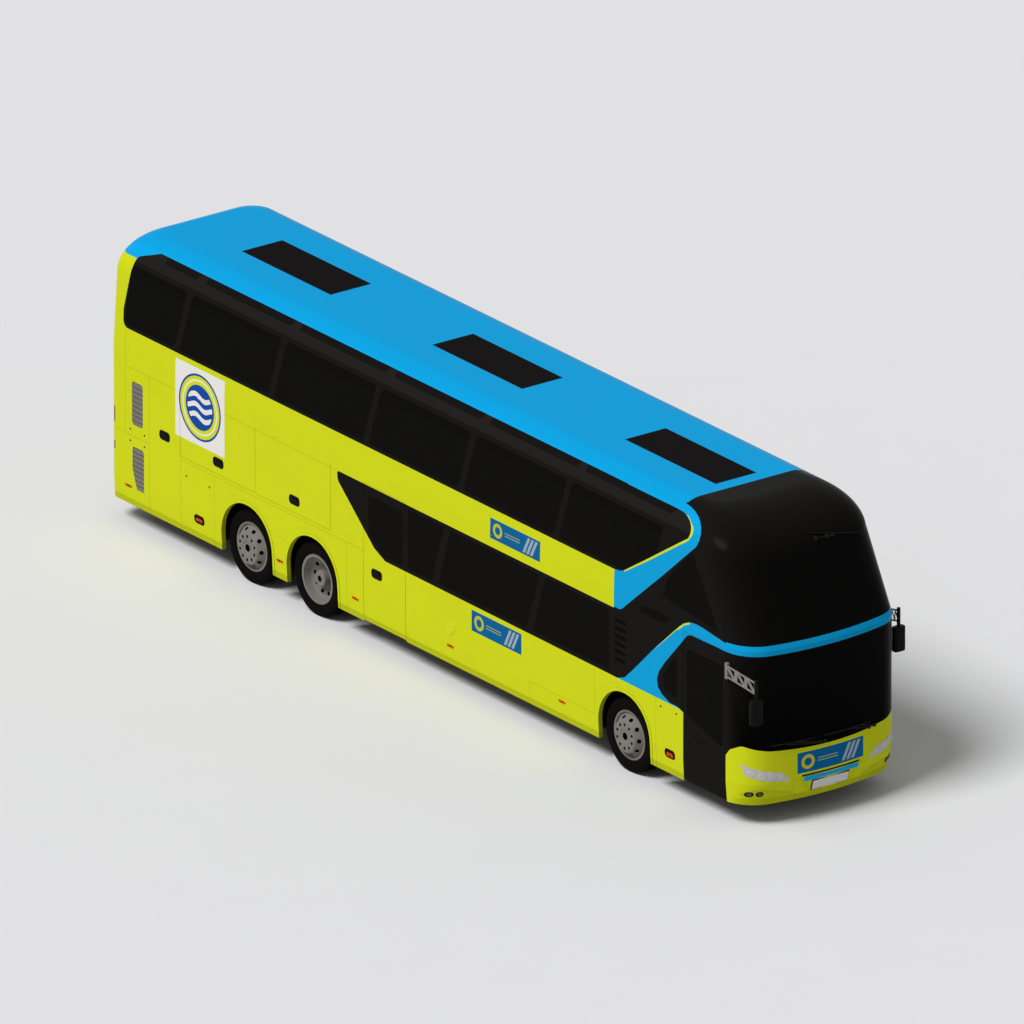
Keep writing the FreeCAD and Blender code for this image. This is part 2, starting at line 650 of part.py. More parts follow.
def lugs(pin_x, pin_y, level):
    """Two plates on the leaf that hold the arm's pin."""
    plates = []
    wide = S.lug_wide
    for low in (level + S.arm_high / 2 + S.run_gap, level - S.arm_high / 2 - S.run_gap - S.rim_wall):
        face_y = -(HALF - S.wall_thick)
        plate = solid_box(pin_x - wide / 2, pin_x + wide / 2, face_y - S.pin_radius, pin_y + wide / 2,
                          low, low + S.rim_wall)
        plates.append(plate.cut(Part.makeCylinder(S.pin_radius + S.pin_gap, S.rim_wall,
                                                  FreeCAD.Vector(pin_x, pin_y, low))))
    return plates


def door_parts(label, box, pane, glazing, edge, long, floor):
    """Leaf with a window hole and lugs, its flush pane, and the turning post with two arms."""
    post_x = edge + long - S.post_in
    pin_x = post_x - S.arm_long
    axis_y = -(HALF - S.wall_thick - S.arm_in)
    hole = side_prism(pane, -1, RIGHT_INNER)
    glass = GLASS_SHELL.common(box).common(glazing or hole)
    leaf = SHELL.common(box).cut([hole, glass])
    arm_top = box.BoundBox.ZMax - S.arm_drop
    plates = [plate for level in (S.arm_low, arm_top) for plate in lugs(pin_x, axis_y, level)]
    feature(label, leaf.fuse(plates))
    feature(label + "_pane", glass)
    bottom = floor + S.seat_gap
    post = Part.makeCylinder(S.post_radius, arm_top + S.arm_high / 2 - bottom, FreeCAD.Vector(post_x, axis_y, bottom))
    arms = []
    reach = S.arm_high / 2 + S.run_gap + S.rim_wall
    for level in (S.arm_low, arm_top):
        low = level - S.arm_high / 2
        arms.append(solid_box(pin_x, post_x, axis_y - S.arm_wide / 2, axis_y + S.arm_wide / 2, low, low + S.arm_high))
        arms.append(Part.makeCylinder(S.arm_wide / 2, S.arm_high, FreeCAD.Vector(pin_x, axis_y, low)))
        arms.append(Part.makeCylinder(S.pin_radius, reach * 2, FreeCAD.Vector(pin_x, axis_y, level - reach)))
    feature(label.replace("door", "arms"), post.fuse(arms).removeSplitter())


def door_pane(edge, long, low_rear, low_front, high):
    frame = S.door_frame
    return [(edge + frame, low_rear, S.pane_round), (edge + long - frame * 0.8, low_front, S.pane_round),
            (edge + long - frame * 0.8, high, S.pane_round), (edge + frame, high, S.pane_round)]


door_parts("door_front", front_door_box(),
           door_pane(FRONT_DOOR_EDGE, S.door_long, S.door_pane_rear, S.door_pane_front, S.door_pane_top), None,
           FRONT_DOOR_EDGE, S.door_long, S.step_top)
door_parts("door_rear", aft_door_box(), corner_points(REAR_PANE_SHARES), GLASS_AREAS[1],
           AFT_DOOR_EDGE, S.aft_door_long, S.rail_low + S.rail_high + S.deck_thick)

for turn, place in enumerate(("front", "rear")):
    flap = SHELL.common(flap_box(turn)).fuse(hinge_barrels(S.barrel_radius)[turn * 2:turn * 2 + 2])
    feature("flap_%s_right" % place, flap)
    feature("flap_%s_left" % place, mirrored(flap))


def grille_slats():
    """Upright frames with level slats between them."""
    shapes = []
    for shares in GRILLE_SHARES:
        whole = grille_prism(shares, S.seat_gap)
        bound = whole.BoundBox
        count = int((bound.ZMax - bound.ZMin) / S.slat_pitch)
        rim = whole.cut(grille_prism(shares, S.slat_thick / 2))
        slats = []
        for turn in range(1, count):
            level = bound.ZMin + (bound.ZMax - bound.ZMin) * turn / count
            slats.append(right_box(bound.XMin, bound.XMax, level - S.slat_thick / 2, level + S.slat_thick / 2))
        back = OUTER.cut(skin(S.grille_deep))
        shapes.append(back.common(rim.fuse(slats)).common(whole))
    return shapes


feature("grilles", Part.makeCompound([solid for shape in grille_slats() for solid in shape.Solids]))


# Frame, decks and inside

def rail_points():
    """One frame rail: low between the axles, raised over each of them."""
    low, top, deep = "rail_low", "rail_top", "rail_high"
    front, drive = FRONT_TEXT, FRONT_TEXT + " - wheelbase"
    tag = drive + " - tag_spacing"
    tail = "0 - (body_length + mirror_reach) / 2 + tail_seam + overrun"
    near, far = "house_half", "house_half + rail_high"
    upper = [(tail, low + " + " + deep), (tag + " - " + far, low + " + " + deep), (tag + " - " + near, top),
             (drive + " + " + near, top), (drive + " + " + far, low + " + " + deep),
             (front + " - " + far, low + " + " + deep), (front + " - " + near, top),
             (front + " + front_seam", top)]
    lower = [(front + " + front_seam", top + " - " + deep), (front + " - " + near + " + " + deep + " / 2", top + " - " + deep),
             (front + " - " + far + " + " + deep + " / 2", low), (drive + " + " + far + " - " + deep + " / 2", low),
             (drive + " + " + near + " - " + deep + " / 2", top + " - " + deep),
             (tag + " - " + near + " + " + deep + " / 2", top + " - " + deep),
             (tag + " - " + far + " + " + deep + " / 2", low), (tail, low)]
    return upper + lower


def rail(name, across):
    body = padded(name, rail_points(), "rail_wide")
    spot(body, "0", across, "0")
    return body


CROSS_PLACES = [
    (FRONT_TEXT + " + front_seam - rail_wide", "rail_top - rail_high"),
    (FRONT_TEXT + " + axle_radius * 5", "rail_top - rail_high"),
    (FRONT_TEXT + " - axle_radius * 6", "rail_top - rail_high"),
    (FRONT_TEXT + " - wheelbase / 4", "rail_low"),
    (FRONT_TEXT + " - wheelbase / 2", "rail_low"),
    (FRONT_TEXT + " - wheelbase * 3 / 4", "rail_low"),
    (FRONT_TEXT + " - wheelbase + axle_radius * 6", "rail_top - rail_high"),
    (FRONT_TEXT + " - wheelbase - tag_spacing / 2", "rail_top - rail_high"),
    (FRONT_TEXT + " - wheelbase - tag_spacing - axle_radius * 6", "rail_top - rail_high"),
    (FRONT_TEXT + " - wheelbase - tag_spacing - tag_spacing", "rail_low"),
]
cross = [block("Cross%d" % turn, "rail_wide", "rail_at * 2", "rail_high", along, "0 - rail_at", up)
         for turn, (along, up) in enumerate(CROSS_PLACES)]
piece(joined("ChassisFrame", [rail("RailRight", "0 - rail_at"), rail("RailLeft", "rail_at")] + cross), "chassis_frame")

LOW_TOP = "rail_low + rail_high"
INNER_HALF = "(body_width / 2 - wall_thick - skirt_tuck - panel_gap)"
FULL_HALF = "(body_width / 2 - wall_thick)"
HIGH_HALF = "(body_width / 2 - wall_thick - panel_gap * 2)"
HOUSE = "house_half + house_wall"
REST = "house_half + rail_high + house_wall * 2"
LUGGAGE = "(flap_low - panel_gap * 2)"
deck_low = joined("DeckLower", [
    block("AisleFloor", "wheelbase - (" + REST + ") * 2", INNER_HALF + " * 2", "deck_thick",
          FRONT_TEXT + " - wheelbase + " + REST, "0 - " + INNER_HALF, LOW_TOP),
    block("FrontFloor", "front_seam + " + REST, "house_in * 2 - house_wall * 2", "deck_thick",
          FRONT_TEXT + " - (" + REST + ")", "house_wall - house_in", "rail_top"),
    block("FrontRiser", "house_wall * 2", "house_in * 2 - house_wall * 2", "rail_top - (" + LOW_TOP + ") + deck_thick",
          FRONT_TEXT + " - (" + REST + ")", "house_wall - house_in", LOW_TOP),
    block("DriverFloor", "front_seam - (" + HOUSE + ")", HIGH_HALF + " - house_in + house_wall * 2", "deck_thick",
          FRONT_TEXT + " + " + HOUSE, "house_in - house_wall * 2", "rail_top"),
    block("StepPlate", "front_seam - (" + HOUSE + ")", INNER_HALF + " - rail_at - rail_wide / 2", "step_thick",
          FRONT_TEXT + " + " + HOUSE, "0 - " + INNER_HALF, "step_top - step_thick"),
    block("StepRiser", "front_seam - (" + HOUSE + ")", "house_wall", "rail_top + deck_thick - step_top + step_thick",
          FRONT_TEXT + " + " + HOUSE, "0 - rail_at - rail_wide / 2 - house_wall", "step_top - step_thick"),
    block("MiddleStep", "front_seam - (" + HOUSE + ")", "(" + INNER_HALF + " - rail_at - rail_wide / 2) / 2",
          "(rail_top + deck_thick - step_top) / 2", FRONT_TEXT + " + " + HOUSE,
          "0 - rail_at - rail_wide / 2 - (" + INNER_HALF + " - rail_at - rail_wide / 2) / 2", "step_top"),
    block("BulkheadFoot", "house_wall * 2", INNER_HALF + " * 2", "skirt_turn - (" + LOW_TOP + ")",
          FRONT_TEXT + " - wheelbase + " + REST, "0 - " + INNER_HALF, LOW_TOP),
    block("Bulkhead", "house_wall * 2", FULL_HALF + " * 2", "upper_floor - deck_thick - skirt_turn",
          FRONT_TEXT + " - wheelbase + " + REST, "0 - " + FULL_HALF, "skirt_turn"),
    block("LuggageFloor", "(body_length - front_overhang - wheelbase) + " + REST + " - tail_corner",
          HIGH_HALF + " * 2", "deck_thick",
          "0 - (body_length + mirror_reach) / 2 + tail_corner", "0 - " + HIGH_HALF, LUGGAGE + " - deck_thick"),
])
piece(deck_low, "deck_lower")


def wheel_house(name, axle, side, top):
    """Upright plates and a lid round one wheel, open towards the road."""
    wide = INNER_HALF + " - house_in + house_wall"
    across = "house_in - house_wall" if side > 0 else "0 - " + INNER_HALF
    inner_across = "house_in - house_wall" if side > 0 else "0 - house_in"
    clear = "tyre_radius + drive_radius + fork_room"
    return joined(name, [
        block(name + "Ahead", "house_wall", wide, top + " - (" + LOW_TOP + ")", axle + " + house_half - house_wall",
              across, LOW_TOP),
        block(name + "Behind", "house_wall", wide, top + " - (" + LOW_TOP + ")", axle + " - house_half", across,
              LOW_TOP),
        block(name + "Inner", "house_half * 2", "house_wall", top + " - (" + clear + ")", axle + " - house_half",
              inner_across, clear),
        block(name + "Lid", "house_half * 2", wide, "house_wall", axle + " - house_half", across,
              top + " - house_wall")])


HOUSE_PLACES = [
    ("Front", FRONT_TEXT, "(arch_top + fork_room)"), ("Drive", FRONT_TEXT + " - wheelbase", "(" + LUGGAGE + " - deck_thick)"),
    ("Tag", FRONT_TEXT + " - wheelbase - tag_spacing", "(" + LUGGAGE + " - deck_thick)"),
]
piece(together("WheelHouses", [wheel_house(name + "House" + ("Left" if side > 0 else "Right"), axle, side, top)
                               for name, axle, top in HOUSE_PLACES for side in (-1, 1)]), "wheel_houses")

upper_floor = minus("DeckUpper", block(
    "UpperFloor", "body_length - tail_corner * 2 - front_overhang + front_seam - wall_thick * 2",
    HIGH_HALF + " * 2", "deck_thick",
    "0 - (body_length + mirror_reach) / 2 + tail_corner", "0 - " + HIGH_HALF, "upper_floor - deck_thick"),
    block("DoorNotch", "body_length", "body_width / 2", "deck_thick * 3",
          FRONT_TEXT + " + door_rear_edge - panel_gap", "0 - " + FULL_HALF + " - body_width / 2 + door_notch",
          "upper_floor - deck_thick * 2"))
piece(upper_floor, "deck_upper")


def seat(rear_x, inner_y, floor, side, wide):
    """One bench: foot, cushion and a leaning back, as one extruded outline."""
    up = floor + S.seat_up
    low = up - S.cushion_thick
    lean = S.back_thick
    corners = [(S.seat_deep * 0.35, floor), (S.seat_deep * 0.65, floor), (S.seat_deep * 0.65, low),
               (S.seat_deep, low), (S.seat_deep, up), (S.back_thick, up), (S.back_thick - lean, up + S.seat_back),
               (-lean, up + S.seat_back), (0, low), (S.seat_deep * 0.35, low)]
    wire = Part.makePolygon([FreeCAD.Vector(rear_x + x, inner_y, z) for x, z in corners + corners[:1]])
    return Part.Face(wire).extrude(FreeCAD.Vector(0, side * wide, 0))


def seats():
    inner = S.aisle_half
    benches = []
    for turn in range(UPPER_ROWS):
        rear = FRONT_AXLE + S.first_row - turn * S.seat_pitch
        benches += [seat(rear, side * inner, S.upper_floor, side, S.seat_wide * 2) for side in (-1, 1)]
    floor = S.rail_low + S.rail_high + S.deck_thick
    for turn in range(LOWER_ROWS):
        rear = FRONT_AXLE - S.house_half - S.seat_pitch * (turn + 1)
        sides = (-1, 1) if rear > AFT_DOOR_EDGE + S.aft_door_long else (1,)
        benches += [seat(rear, side * inner, floor, side, S.seat_wide * 2) for side in sides]
    benches.append(seat(FRONT_AXLE + S.driver_seat, S.rail_at, S.rail_top + S.deck_thick, 1, S.seat_wide))
    return Part.makeCompound(benches)


UPPER_ROWS = 13
LOWER_ROWS = 5
feature("seats", seats())


def dashboard():
    """Console with a tilted steering wheel on its column."""
    floor = S.rail_top + S.deck_thick
    base = FRONT_AXLE + S.front_seam - S.console_deep
    corners = [(0, 0), (0.62, 0), (0.95, 0.75), (0.88, 1), (-0.12, 0.82), (0.1, 0.6)]
    points = [FreeCAD.Vector(base + x * S.console_deep, S.aisle_half, floor + z * S.console_high)
              for x, z in corners + corners[:1]]
    console = Part.Face(Part.makePolygon(points)).extrude(FreeCAD.Vector(0, S.console_wide, 0))
    centre = FreeCAD.Vector(base - S.console_deep * 0.45, S.rail_at + S.seat_wide / 2, floor + S.console_high * 1.12)
    axis = FreeCAD.Vector(-0.5, 0, 1)
    ring = Part.makeTorus(S.helm_radius, S.helm_thick, centre, axis)
    axis.normalize()
    column = Part.makeCylinder(S.helm_thick * 1.4, S.console_high * 1.05, centre, axis * -1)
    spoke = Part.makeCylinder(S.helm_thick * 0.8, S.helm_radius * 2, centre + FreeCAD.Vector(0, -S.helm_radius, 0),
                              FreeCAD.Vector(0, 1, 0))
    return console.fuse([ring, column, spoke]).removeSplitter()


feature("dashboard", dashboard())
piece(block("Engine", "engine_long", "engine_wide", "engine_high",
            "0 - (body_length + mirror_reach) / 2 + tail_seam + tail_corner", "0 - engine_wide / 2", LOW_TOP), "engine")


# Axles, knuckles and wheels

KING_Y = "(wheel_out - king_in)"
TYRE_Y = "(wheel_out - tyre_wide / 2)"
HUB_IN = "hub_reach"


def fork(side):
    """The two ears of the front axle beam that hold one kingpin, with the pin itself."""
    sign = "" if side > 0 else "0 - "
    low_y = (KING_Y if side > 0 else "0 - " + KING_Y)
    web = "(knuckle_wide / 2 + fork_room)"
    inner = (KING_Y + " - " + web + " - fork_high") if side > 0 else "0 - " + KING_Y + " - knuckle_wide / 3"
    long = web + " + fork_high + knuckle_wide / 3"
    parts = []
    tag = "Left" if side > 0 else "Right"
    for name, up in (("Top", "tyre_radius + knuckle_high / 2 + run_gap"),
                     ("Low", "tyre_radius - knuckle_high / 2 - run_gap - fork_high")):
        parts.append(block("Fork" + name + tag, "knuckle_wide * 0.8", long, "fork_high",
                           FRONT_TEXT + " - knuckle_wide * 0.4", inner, up))
    web_y = (KING_Y + " - " + web + " - fork_high") if side > 0 else "0 - " + KING_Y + " + " + web
    parts.append(block("Web" + tag, "knuckle_wide * 0.8", "fork_high", "knuckle_high + (run_gap + fork_high) * 2",
                       FRONT_TEXT + " - knuckle_wide * 0.4", web_y,
                       "tyre_radius - knuckle_high / 2 - run_gap - fork_high"))
    parts.append(rod("Kingpin" + tag, "king_radius", "knuckle_high + (run_gap + fork_high) * 2", FRONT_TEXT, low_y,
                     "tyre_radius - knuckle_high / 2 - run_gap - fork_high"))
    return parts


ALONG_Y = FreeCAD.Vector(-1, 0, 0)


def bellows(name, axle, side, radius):
    """An air spring between an axle tube and the rail above it."""
    across = "rail_at" if side > 0 else "0 - rail_at"
    up = "tyre_radius + " + radius + " * 0.8"
    return rod(name, "bellows_radius", "rail_top - rail_high - (" + up + ")", axle, across, up)


front_beam = joined("AxleFront", [
    rod("FrontTube", "axle_radius", "(" + KING_Y + " - knuckle_wide / 2 - fork_room) * 2", FRONT_TEXT,
        "0 - (" + KING_Y + " - knuckle_wide / 2 - fork_room)", "tyre_radius", ALONG_Y)]
    + fork(-1) + fork(1) + [bellows("FrontBellows%d" % side, FRONT_TEXT, side, "axle_radius") for side in (-1, 1)])
piece(front_beam, "axle_front")


def rear_axle(name, axle, tube, end):
    """Tube with spindles, air springs and, on the driven one, the final drive."""
    parts = [rod(name + "Tube", tube, "(" + end + ") * 2", axle, "0 - (" + end + ")", "tyre_radius", ALONG_Y),
             rod(name + "Spindle", "spindle_radius", "(" + TYRE_Y + " + spindle_out) * 2", axle,
                 "0 - " + TYRE_Y + " - spindle_out", "tyre_radius", ALONG_Y)]
    return parts + [bellows(name + "Bellows%d" % side, axle, side, tube) for side in (-1, 1)]


DRIVE_TEXT = FRONT_TEXT + " - wheelbase"
TAG_TEXT = DRIVE_TEXT + " - tag_spacing"
drive_parts = rear_axle("Drive", DRIVE_TEXT, "drive_radius", TYRE_Y + " - twin_pitch * 0.72 - run_gap")
bowl = doc.addObject("Part::Sphere", "FinalDrive")
bind(bowl, {"Radius": "bowl_radius"})
spot(bowl, DRIVE_TEXT, "0", "tyre_radius")
axles = together("AxlesRear", [
    joined("DriveAxle", drive_parts + [bowl]),
    joined("TagAxle", rear_axle("Tag", TAG_TEXT, "axle_radius", TYRE_Y + " - " + HUB_IN + " - run_gap"))])
piece(axles, "axles_rear")


def knuckle(side):
    """Steering knuckle: a block bored for the kingpin, with the wheel's spindle."""
    tag = "Left" if side > 0 else "Right"
    king = KING_Y if side > 0 else "0 - " + KING_Y
    base = block("KnuckleBlock" + tag, "knuckle_wide", "knuckle_wide", "knuckle_high",
                 FRONT_TEXT + " - knuckle_wide / 2", king + " - knuckle_wide / 2", "tyre_radius - knuckle_high / 2")
    start = king if side > 0 else "0 - " + TYRE_Y + " - spindle_out"
    spindle = rod("Spindle" + tag, "spindle_radius", TYRE_Y + " + spindle_out - " + KING_Y, FRONT_TEXT, start,
                  "tyre_radius", ALONG_Y)
    bore = rod("KingBore" + tag, "king_radius + pin_gap", "knuckle_high * 2", FRONT_TEXT, king,
               "tyre_radius - knuckle_high")
    whole = minus("Knuckle" + tag, joined("KnuckleBody" + tag, [base, spindle]), bore)
    return piece(whole, "knuckle_" + tag.lower())


for side in (-1, 1):
    knuckle(side)

BEAD = "bead_wide / 2"
TYRE_SHARES = ((0.30, 0.478), (0.42, 0.494), (0.56, 0.5), (0.70, 0.492), (0.82, 0.472), (0.91, 0.444), (0.968, 0.408))


def tyre_side(sign):
    """Half of the tyre's outline, from the bead seat over the sidewall to the tread's edge."""
    points = [("tyre_bead", sign + "bead_wide / 2"), ("rim_lip + seat_gap * 3", sign + "bead_wide / 2"),
              ("rim_lip + rim_wall / 2", sign + "tyre_wide * 0.44")]
    for up, out in TYRE_SHARES:
        points.append(("tyre_bead + %s * (tyre_radius - tyre_bead)" % up, sign + "tyre_wide * %s" % out))
    return points + [("tyre_radius", sign + "tread_wide / 2")]


TYRE_PROFILE = tyre_side("0 - ") + tyre_side("")[::-1]
BARREL = "tyre_bead - seat_gap"
BORE = "spindle_radius + pin_gap"
FLANGE = "(" + BEAD + " + rim_wall)"
SINGLE_RIM_PROFILE = [
    (BORE, "0 - hub_reach"), ("hub_radius", "0 - hub_reach"), ("hub_radius", "disc_proud - disc_thick"),
    ("disc_flat", "disc_proud - disc_thick"), ("disc_foot - rim_wall", "disc_proud - disc_drop - disc_thick"),
    ("tyre_bead - rim_wall", "disc_proud - disc_drop - disc_thick"),
    ("tyre_bead - rim_wall", "0 - " + FLANGE), ("rim_lip", "0 - " + FLANGE),
    ("rim_lip", "0 - " + BEAD + " - seat_gap"), (BARREL, "0 - " + BEAD + " - seat_gap"),
    (BARREL, BEAD + " + seat_gap"), ("rim_lip", BEAD + " + seat_gap"), ("rim_lip", FLANGE),
    ("tyre_bead - rim_wall / 2", FLANGE), ("disc_foot", "disc_proud - disc_drop"), ("disc_flat + rim_wall", "disc_proud"),
    ("hub_radius - rim_wall", "disc_proud"), ("hub_radius - rim_wall * 2", "disc_proud - rim_wall"),
    (BORE, "disc_proud - rim_wall"),
]
MIDDLE = "twin_pitch / 2"
TWIN_RIM_PROFILE = [
    (BORE, "0 - twin_pitch * 0.7"), ("hub_radius", "0 - twin_pitch * 0.7"), ("hub_radius", "0 - " + MIDDLE + " - disc_thick"),
    ("disc_foot - disc_thick", "0 - " + MIDDLE + " - disc_thick"),
    ("tyre_bead - rim_wall", "0 - twin_pitch + " + BEAD + " - disc_thick"),
    ("tyre_bead - rim_wall", "0 - twin_pitch - " + FLANGE), ("rim_lip", "0 - twin_pitch - " + FLANGE),
    ("rim_lip", "0 - twin_pitch - " + BEAD + " - seat_gap"), (BARREL, "0 - twin_pitch - " + BEAD + " - seat_gap"),
    (BARREL, "0 - twin_pitch + " + BEAD + " + seat_gap"), ("rim_lip", "0 - twin_pitch + " + BEAD + " + seat_gap"),
    ("rim_lip", "0 - twin_pitch + " + FLANGE), ("tyre_bead", "0 - twin_pitch + " + FLANGE),
    ("disc_foot + rim_wall", "0 - " + MIDDLE),
    ("tyre_bead", "0 - " + FLANGE), ("rim_lip", "0 - " + FLANGE), ("rim_lip", "0 - " + BEAD + " - seat_gap"),
    (BARREL, "0 - " + BEAD + " - seat_gap"), (BARREL, BEAD + " + seat_gap"), ("rim_lip", BEAD + " + seat_gap"),
    ("rim_lip", FLANGE), ("tyre_bead - rim_wall", FLANGE), ("tyre_bead - rim_wall", "0 - " + BEAD + " + disc_thick"),
    ("disc_foot - disc_thick", "disc_thick - " + MIDDLE), ("hub_radius", "disc_thick - " + MIDDLE),
    ("hub_radius", "hub_out - rim_wall"), ("hub_radius - rim_wall", "hub_out"), (BORE, "hub_out"),
]


def vents(body, ring, radius, count, name, upright=False):
    """Holes through the wheel disc, one drilled and repeated round the axle."""
    sketch = body.newObject("Sketcher::SketchObject", body.Name + name)
    sketch.AttachmentSupport = [(origin_plane(body, "XZ_Plane"), "")]
    sketch.MapMode = "FlatFace"
    centre = FreeCAD.Vector(0, S.vent_ring, 0) if upright else FreeCAD.Vector(S.vent_ring, 0, 0)
    sketch.addGeometry(Part.Circle(centre, FreeCAD.Vector(0, 0, 1), S.vent_radius))
    line = sketch.addConstraint(Sketcher.Constraint("Radius", 0, S.vent_radius))
    sketch.setExpression("Constraints[%d]" % line, cells(radius))
    line = sketch.addConstraint(Sketcher.Constraint("DistanceY" if upright else "DistanceX", -1, 1, 0, 3, S.vent_ring))
    sketch.setExpression("Constraints[%d]" % line, cells(ring))
    sketch.addConstraint(Sketcher.Constraint("PointOnObject", 0, 3, -2 if upright else -1))
    doc.recompute()
    pocket = body.newObject("PartDesign::Pocket", body.Name + name + "Cut")
    pocket.Profile = sketch
    pocket.Midplane = True
    pocket.Type = "Length"
    bind(pocket, {"Length": "tyre_wide * 2"})
    doc.recompute()
    pattern = body.newObject("PartDesign::PolarPattern", body.Name + name + "Ring")
    pattern.Originals = [pocket]
    pattern.Axis = (origin_plane(body, "Y_Axis"), [""])
    pattern.Angle = 360
    pattern.Occurrences = count
    body.Tip = pattern
    doc.recompute()


VENT_COUNT = 12
LUG_COUNT = 10


def place_wheel(item, axle, side):
    """Outer face away from the coach, standing on the ground."""
    if side < 0:
        item.Placement = FreeCAD.Placement(FreeCAD.Vector(), FreeCAD.Rotation(FreeCAD.Vector(0, 0, 1), 180))
    spot(item, axle, TYRE_Y if side > 0 else "0 - " + TYRE_Y, "tyre_radius")


def tyre_body(name):
    return turned(name, TYRE_PROFILE)


def single_wheel(place, axle, side):
    tag = place + ("_left" if side > 0 else "_right")
    tyre = tyre_body("Tyre_" + tag)
    place_wheel(tyre, axle, side)
    piece(tyre, "tyre_" + tag)
    rim = turned("Rim_" + tag, SINGLE_RIM_PROFILE)
    vents(rim, "vent_ring", "vent_radius", VENT_COUNT, "Vent")
    vents(rim, "lug_ring", "lug_radius", LUG_COUNT, "Lug", upright=True)
    place_wheel(rim, axle, side)
    piece(rim, "rim_" + tag)


def twin_wheel(side):
    tag = "drive_left" if side > 0 else "drive_right"
    outer = tyre_body("OuterTyre_" + tag)
    inner = tyre_body("InnerTyre_" + tag)
    spot(inner, "0", "0 - twin_pitch", "0")
    pair = together("Tyres_" + tag, [outer, inner])
    place_wheel(pair, DRIVE_TEXT, side)
    piece(pair, "tyres_" + tag)
    rim = turned("Rims_" + tag, TWIN_RIM_PROFILE)
    vents(rim, "vent_ring", "vent_radius", VENT_COUNT, "Vent")
    vents(rim, "lug_ring", "lug_radius", LUG_COUNT, "Lug", upright=True)
    place_wheel(rim, DRIVE_TEXT, side)
    piece(rim, "rims_" + tag)


for side in (-1, 1):
    single_wheel("front", FRONT_TEXT, side)
    twin_wheel(side)
    single_wheel("tag", TAG_TEXT, side)


# Mirrors

LATTICE_BAYS = 3
LATTICE_OPEN = 0.62


def mirror_head(centre):
    """A housing of oval section, taller than wide."""
    long, wide, high = S.head_deep, S.head_wide, S.head_high
    box = Part.makeBox(long, wide, high, centre - FreeCAD.Vector(long / 2, wide / 2, high / 2))
    upright = [edge for edge in box.Edges if edge.Length == high]
    column = box.makeFillet(long * 0.42, upright)
    ends = [edge for edge in column.Edges if edge.BoundBox.ZLength < high / 2]
    return column.makeFillet(S.head_round / 2, ends)


def lattice(start, stop, high):
    """A flat plate on edge with triangular openings between its chords."""
    rise = FreeCAD.Vector(0, 0, high)
    spots = [start + (stop - start) * (turn / LATTICE_BAYS) for turn in range(LATTICE_BAYS + 1)]
    across = (stop - start).cross(rise)
    across.normalize()
    across = across * (S.bracket_thick / 2)
    plate = Part.Face(Part.makePolygon([start, stop, stop + rise, start + rise, start])).extrude(across)
    for near, far in zip(spots, spots[1:]):
        for triangle in ((near, far, near + rise), (far, far + rise, near + rise)):
            middle = (triangle[0] + triangle[1] + triangle[2]) * (1 / 3)
            inner = [middle + (corner - middle) * LATTICE_OPEN for corner in triangle]
            hole = Part.Face(Part.makePolygon(inner + inner[:1])).extrude(across * 3)
            hole.translate(across * -1)
            plate = plate.cut(hole)
    return plate


def mirror(side, along, up, root_up):
    """Head on a short post, carried by a lattice bracket from the front pillar."""
    head_y = side * (HALF + S.head_gap + S.head_wide / 2)
    centre = FreeCAD.Vector(FRONT_AXLE + along, head_y, up)
    head = mirror_head(centre)
    low = root_up - S.bracket_high / 2
    post = Part.makeCylinder(S.bracket_thick, low + S.bracket_high + S.bracket_thick - up, centre)
    root_x = FRONT_AXLE + S.front_seam + S.bracket_thick * 2
    plate = lattice(FreeCAD.Vector(root_x, side * (HALF + S.bracket_thick), low),
                    FreeCAD.Vector(centre.x, centre.y, low), S.bracket_high)
    foot = solid_box(root_x - S.bracket_thick, root_x + S.bracket_thick, *sorted((side * (HALF - S.wall_thick),
                     side * (HALF + S.bracket_thick * 3 / 2))), low - S.bracket_thick,
                     low + S.bracket_high + S.bracket_thick)
    whole = head.fuse([post, foot, plate]).cut(OUTER)
    return max(whole.Solids, key=lambda solid: solid.Volume)


head_x = S.front_overhang + S.mirror_reach - S.head_deep / 2
feature("mirrors", Part.makeCompound([mirror(-1, head_x, S.right_head_up, S.bracket_up),
                                      mirror(1, S.left_head_x, S.left_head_up, S.bracket_up + S.bracket_high)]))


# Raised trim on the skin

def side_plate(along, up, long, high):
    """A rounded plate that stands proud of the right side."""
    points = [(along - long / 2, up - high / 2, high / 3), (along + long / 2, up - high / 2, high / 3),
              (along + long / 2, up + high / 2, high / 3), (along - long / 2, up + high / 2, high / 3)]
    return PROUD_SHELL.common(side_prism(points, -1, RIGHT_INNER))


def both_sides(shapes):
    return Part.makeCompound(shapes + [mirrored(shape) for shape in shapes])


MARKER_SHARES = (-1.5968, -1.3664, -1.1049, -0.8612, -0.5554, -0.1987, 0.1448)
feature("marker_lamps", both_sides([side_plate(FRONT_AXLE + along * S.wheelbase, S.marker_up, S.marker_long, S.marker_high)
                                    for along in MARKER_SHARES]))
LOUVRE_COUNT = 6
feature("louvres", both_sides([side_plate(FRONT_AXLE - S.louvre_at + S.louvre_long / 2,
                                          S.louvre_top - turn * S.louvre_pitch, S.louvre_long, S.louvre_high)
                               for turn in range(LOUVRE_COUNT)]))

doc.recompute()


def faults():
    """Names of objects that failed or whose solids are not sound."""
    names = [item.Label for item in doc.Objects if "Invalid" in item.State or "Error" in item.State]
    for item in PIECES:
        if item.Shape.isNull() or not item.Shape.isValid() or not item.Shape.Solids:
            names.append(item.Label)
    return names


if faults():
    raise RuntimeError("unsound: " + ", ".join(faults()))
os.makedirs("parts", exist_ok=True)
for item in PIECES:
    item.Shape.exportStep("parts/%s.step" % item.Label)
    print(item.Label, len(item.Shape.Solids), round(item.Shape.Volume / 1e6, 2))
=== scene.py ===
import math

import bmesh
import bpy
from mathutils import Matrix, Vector
from mathutils.bvhtree import BVHTree


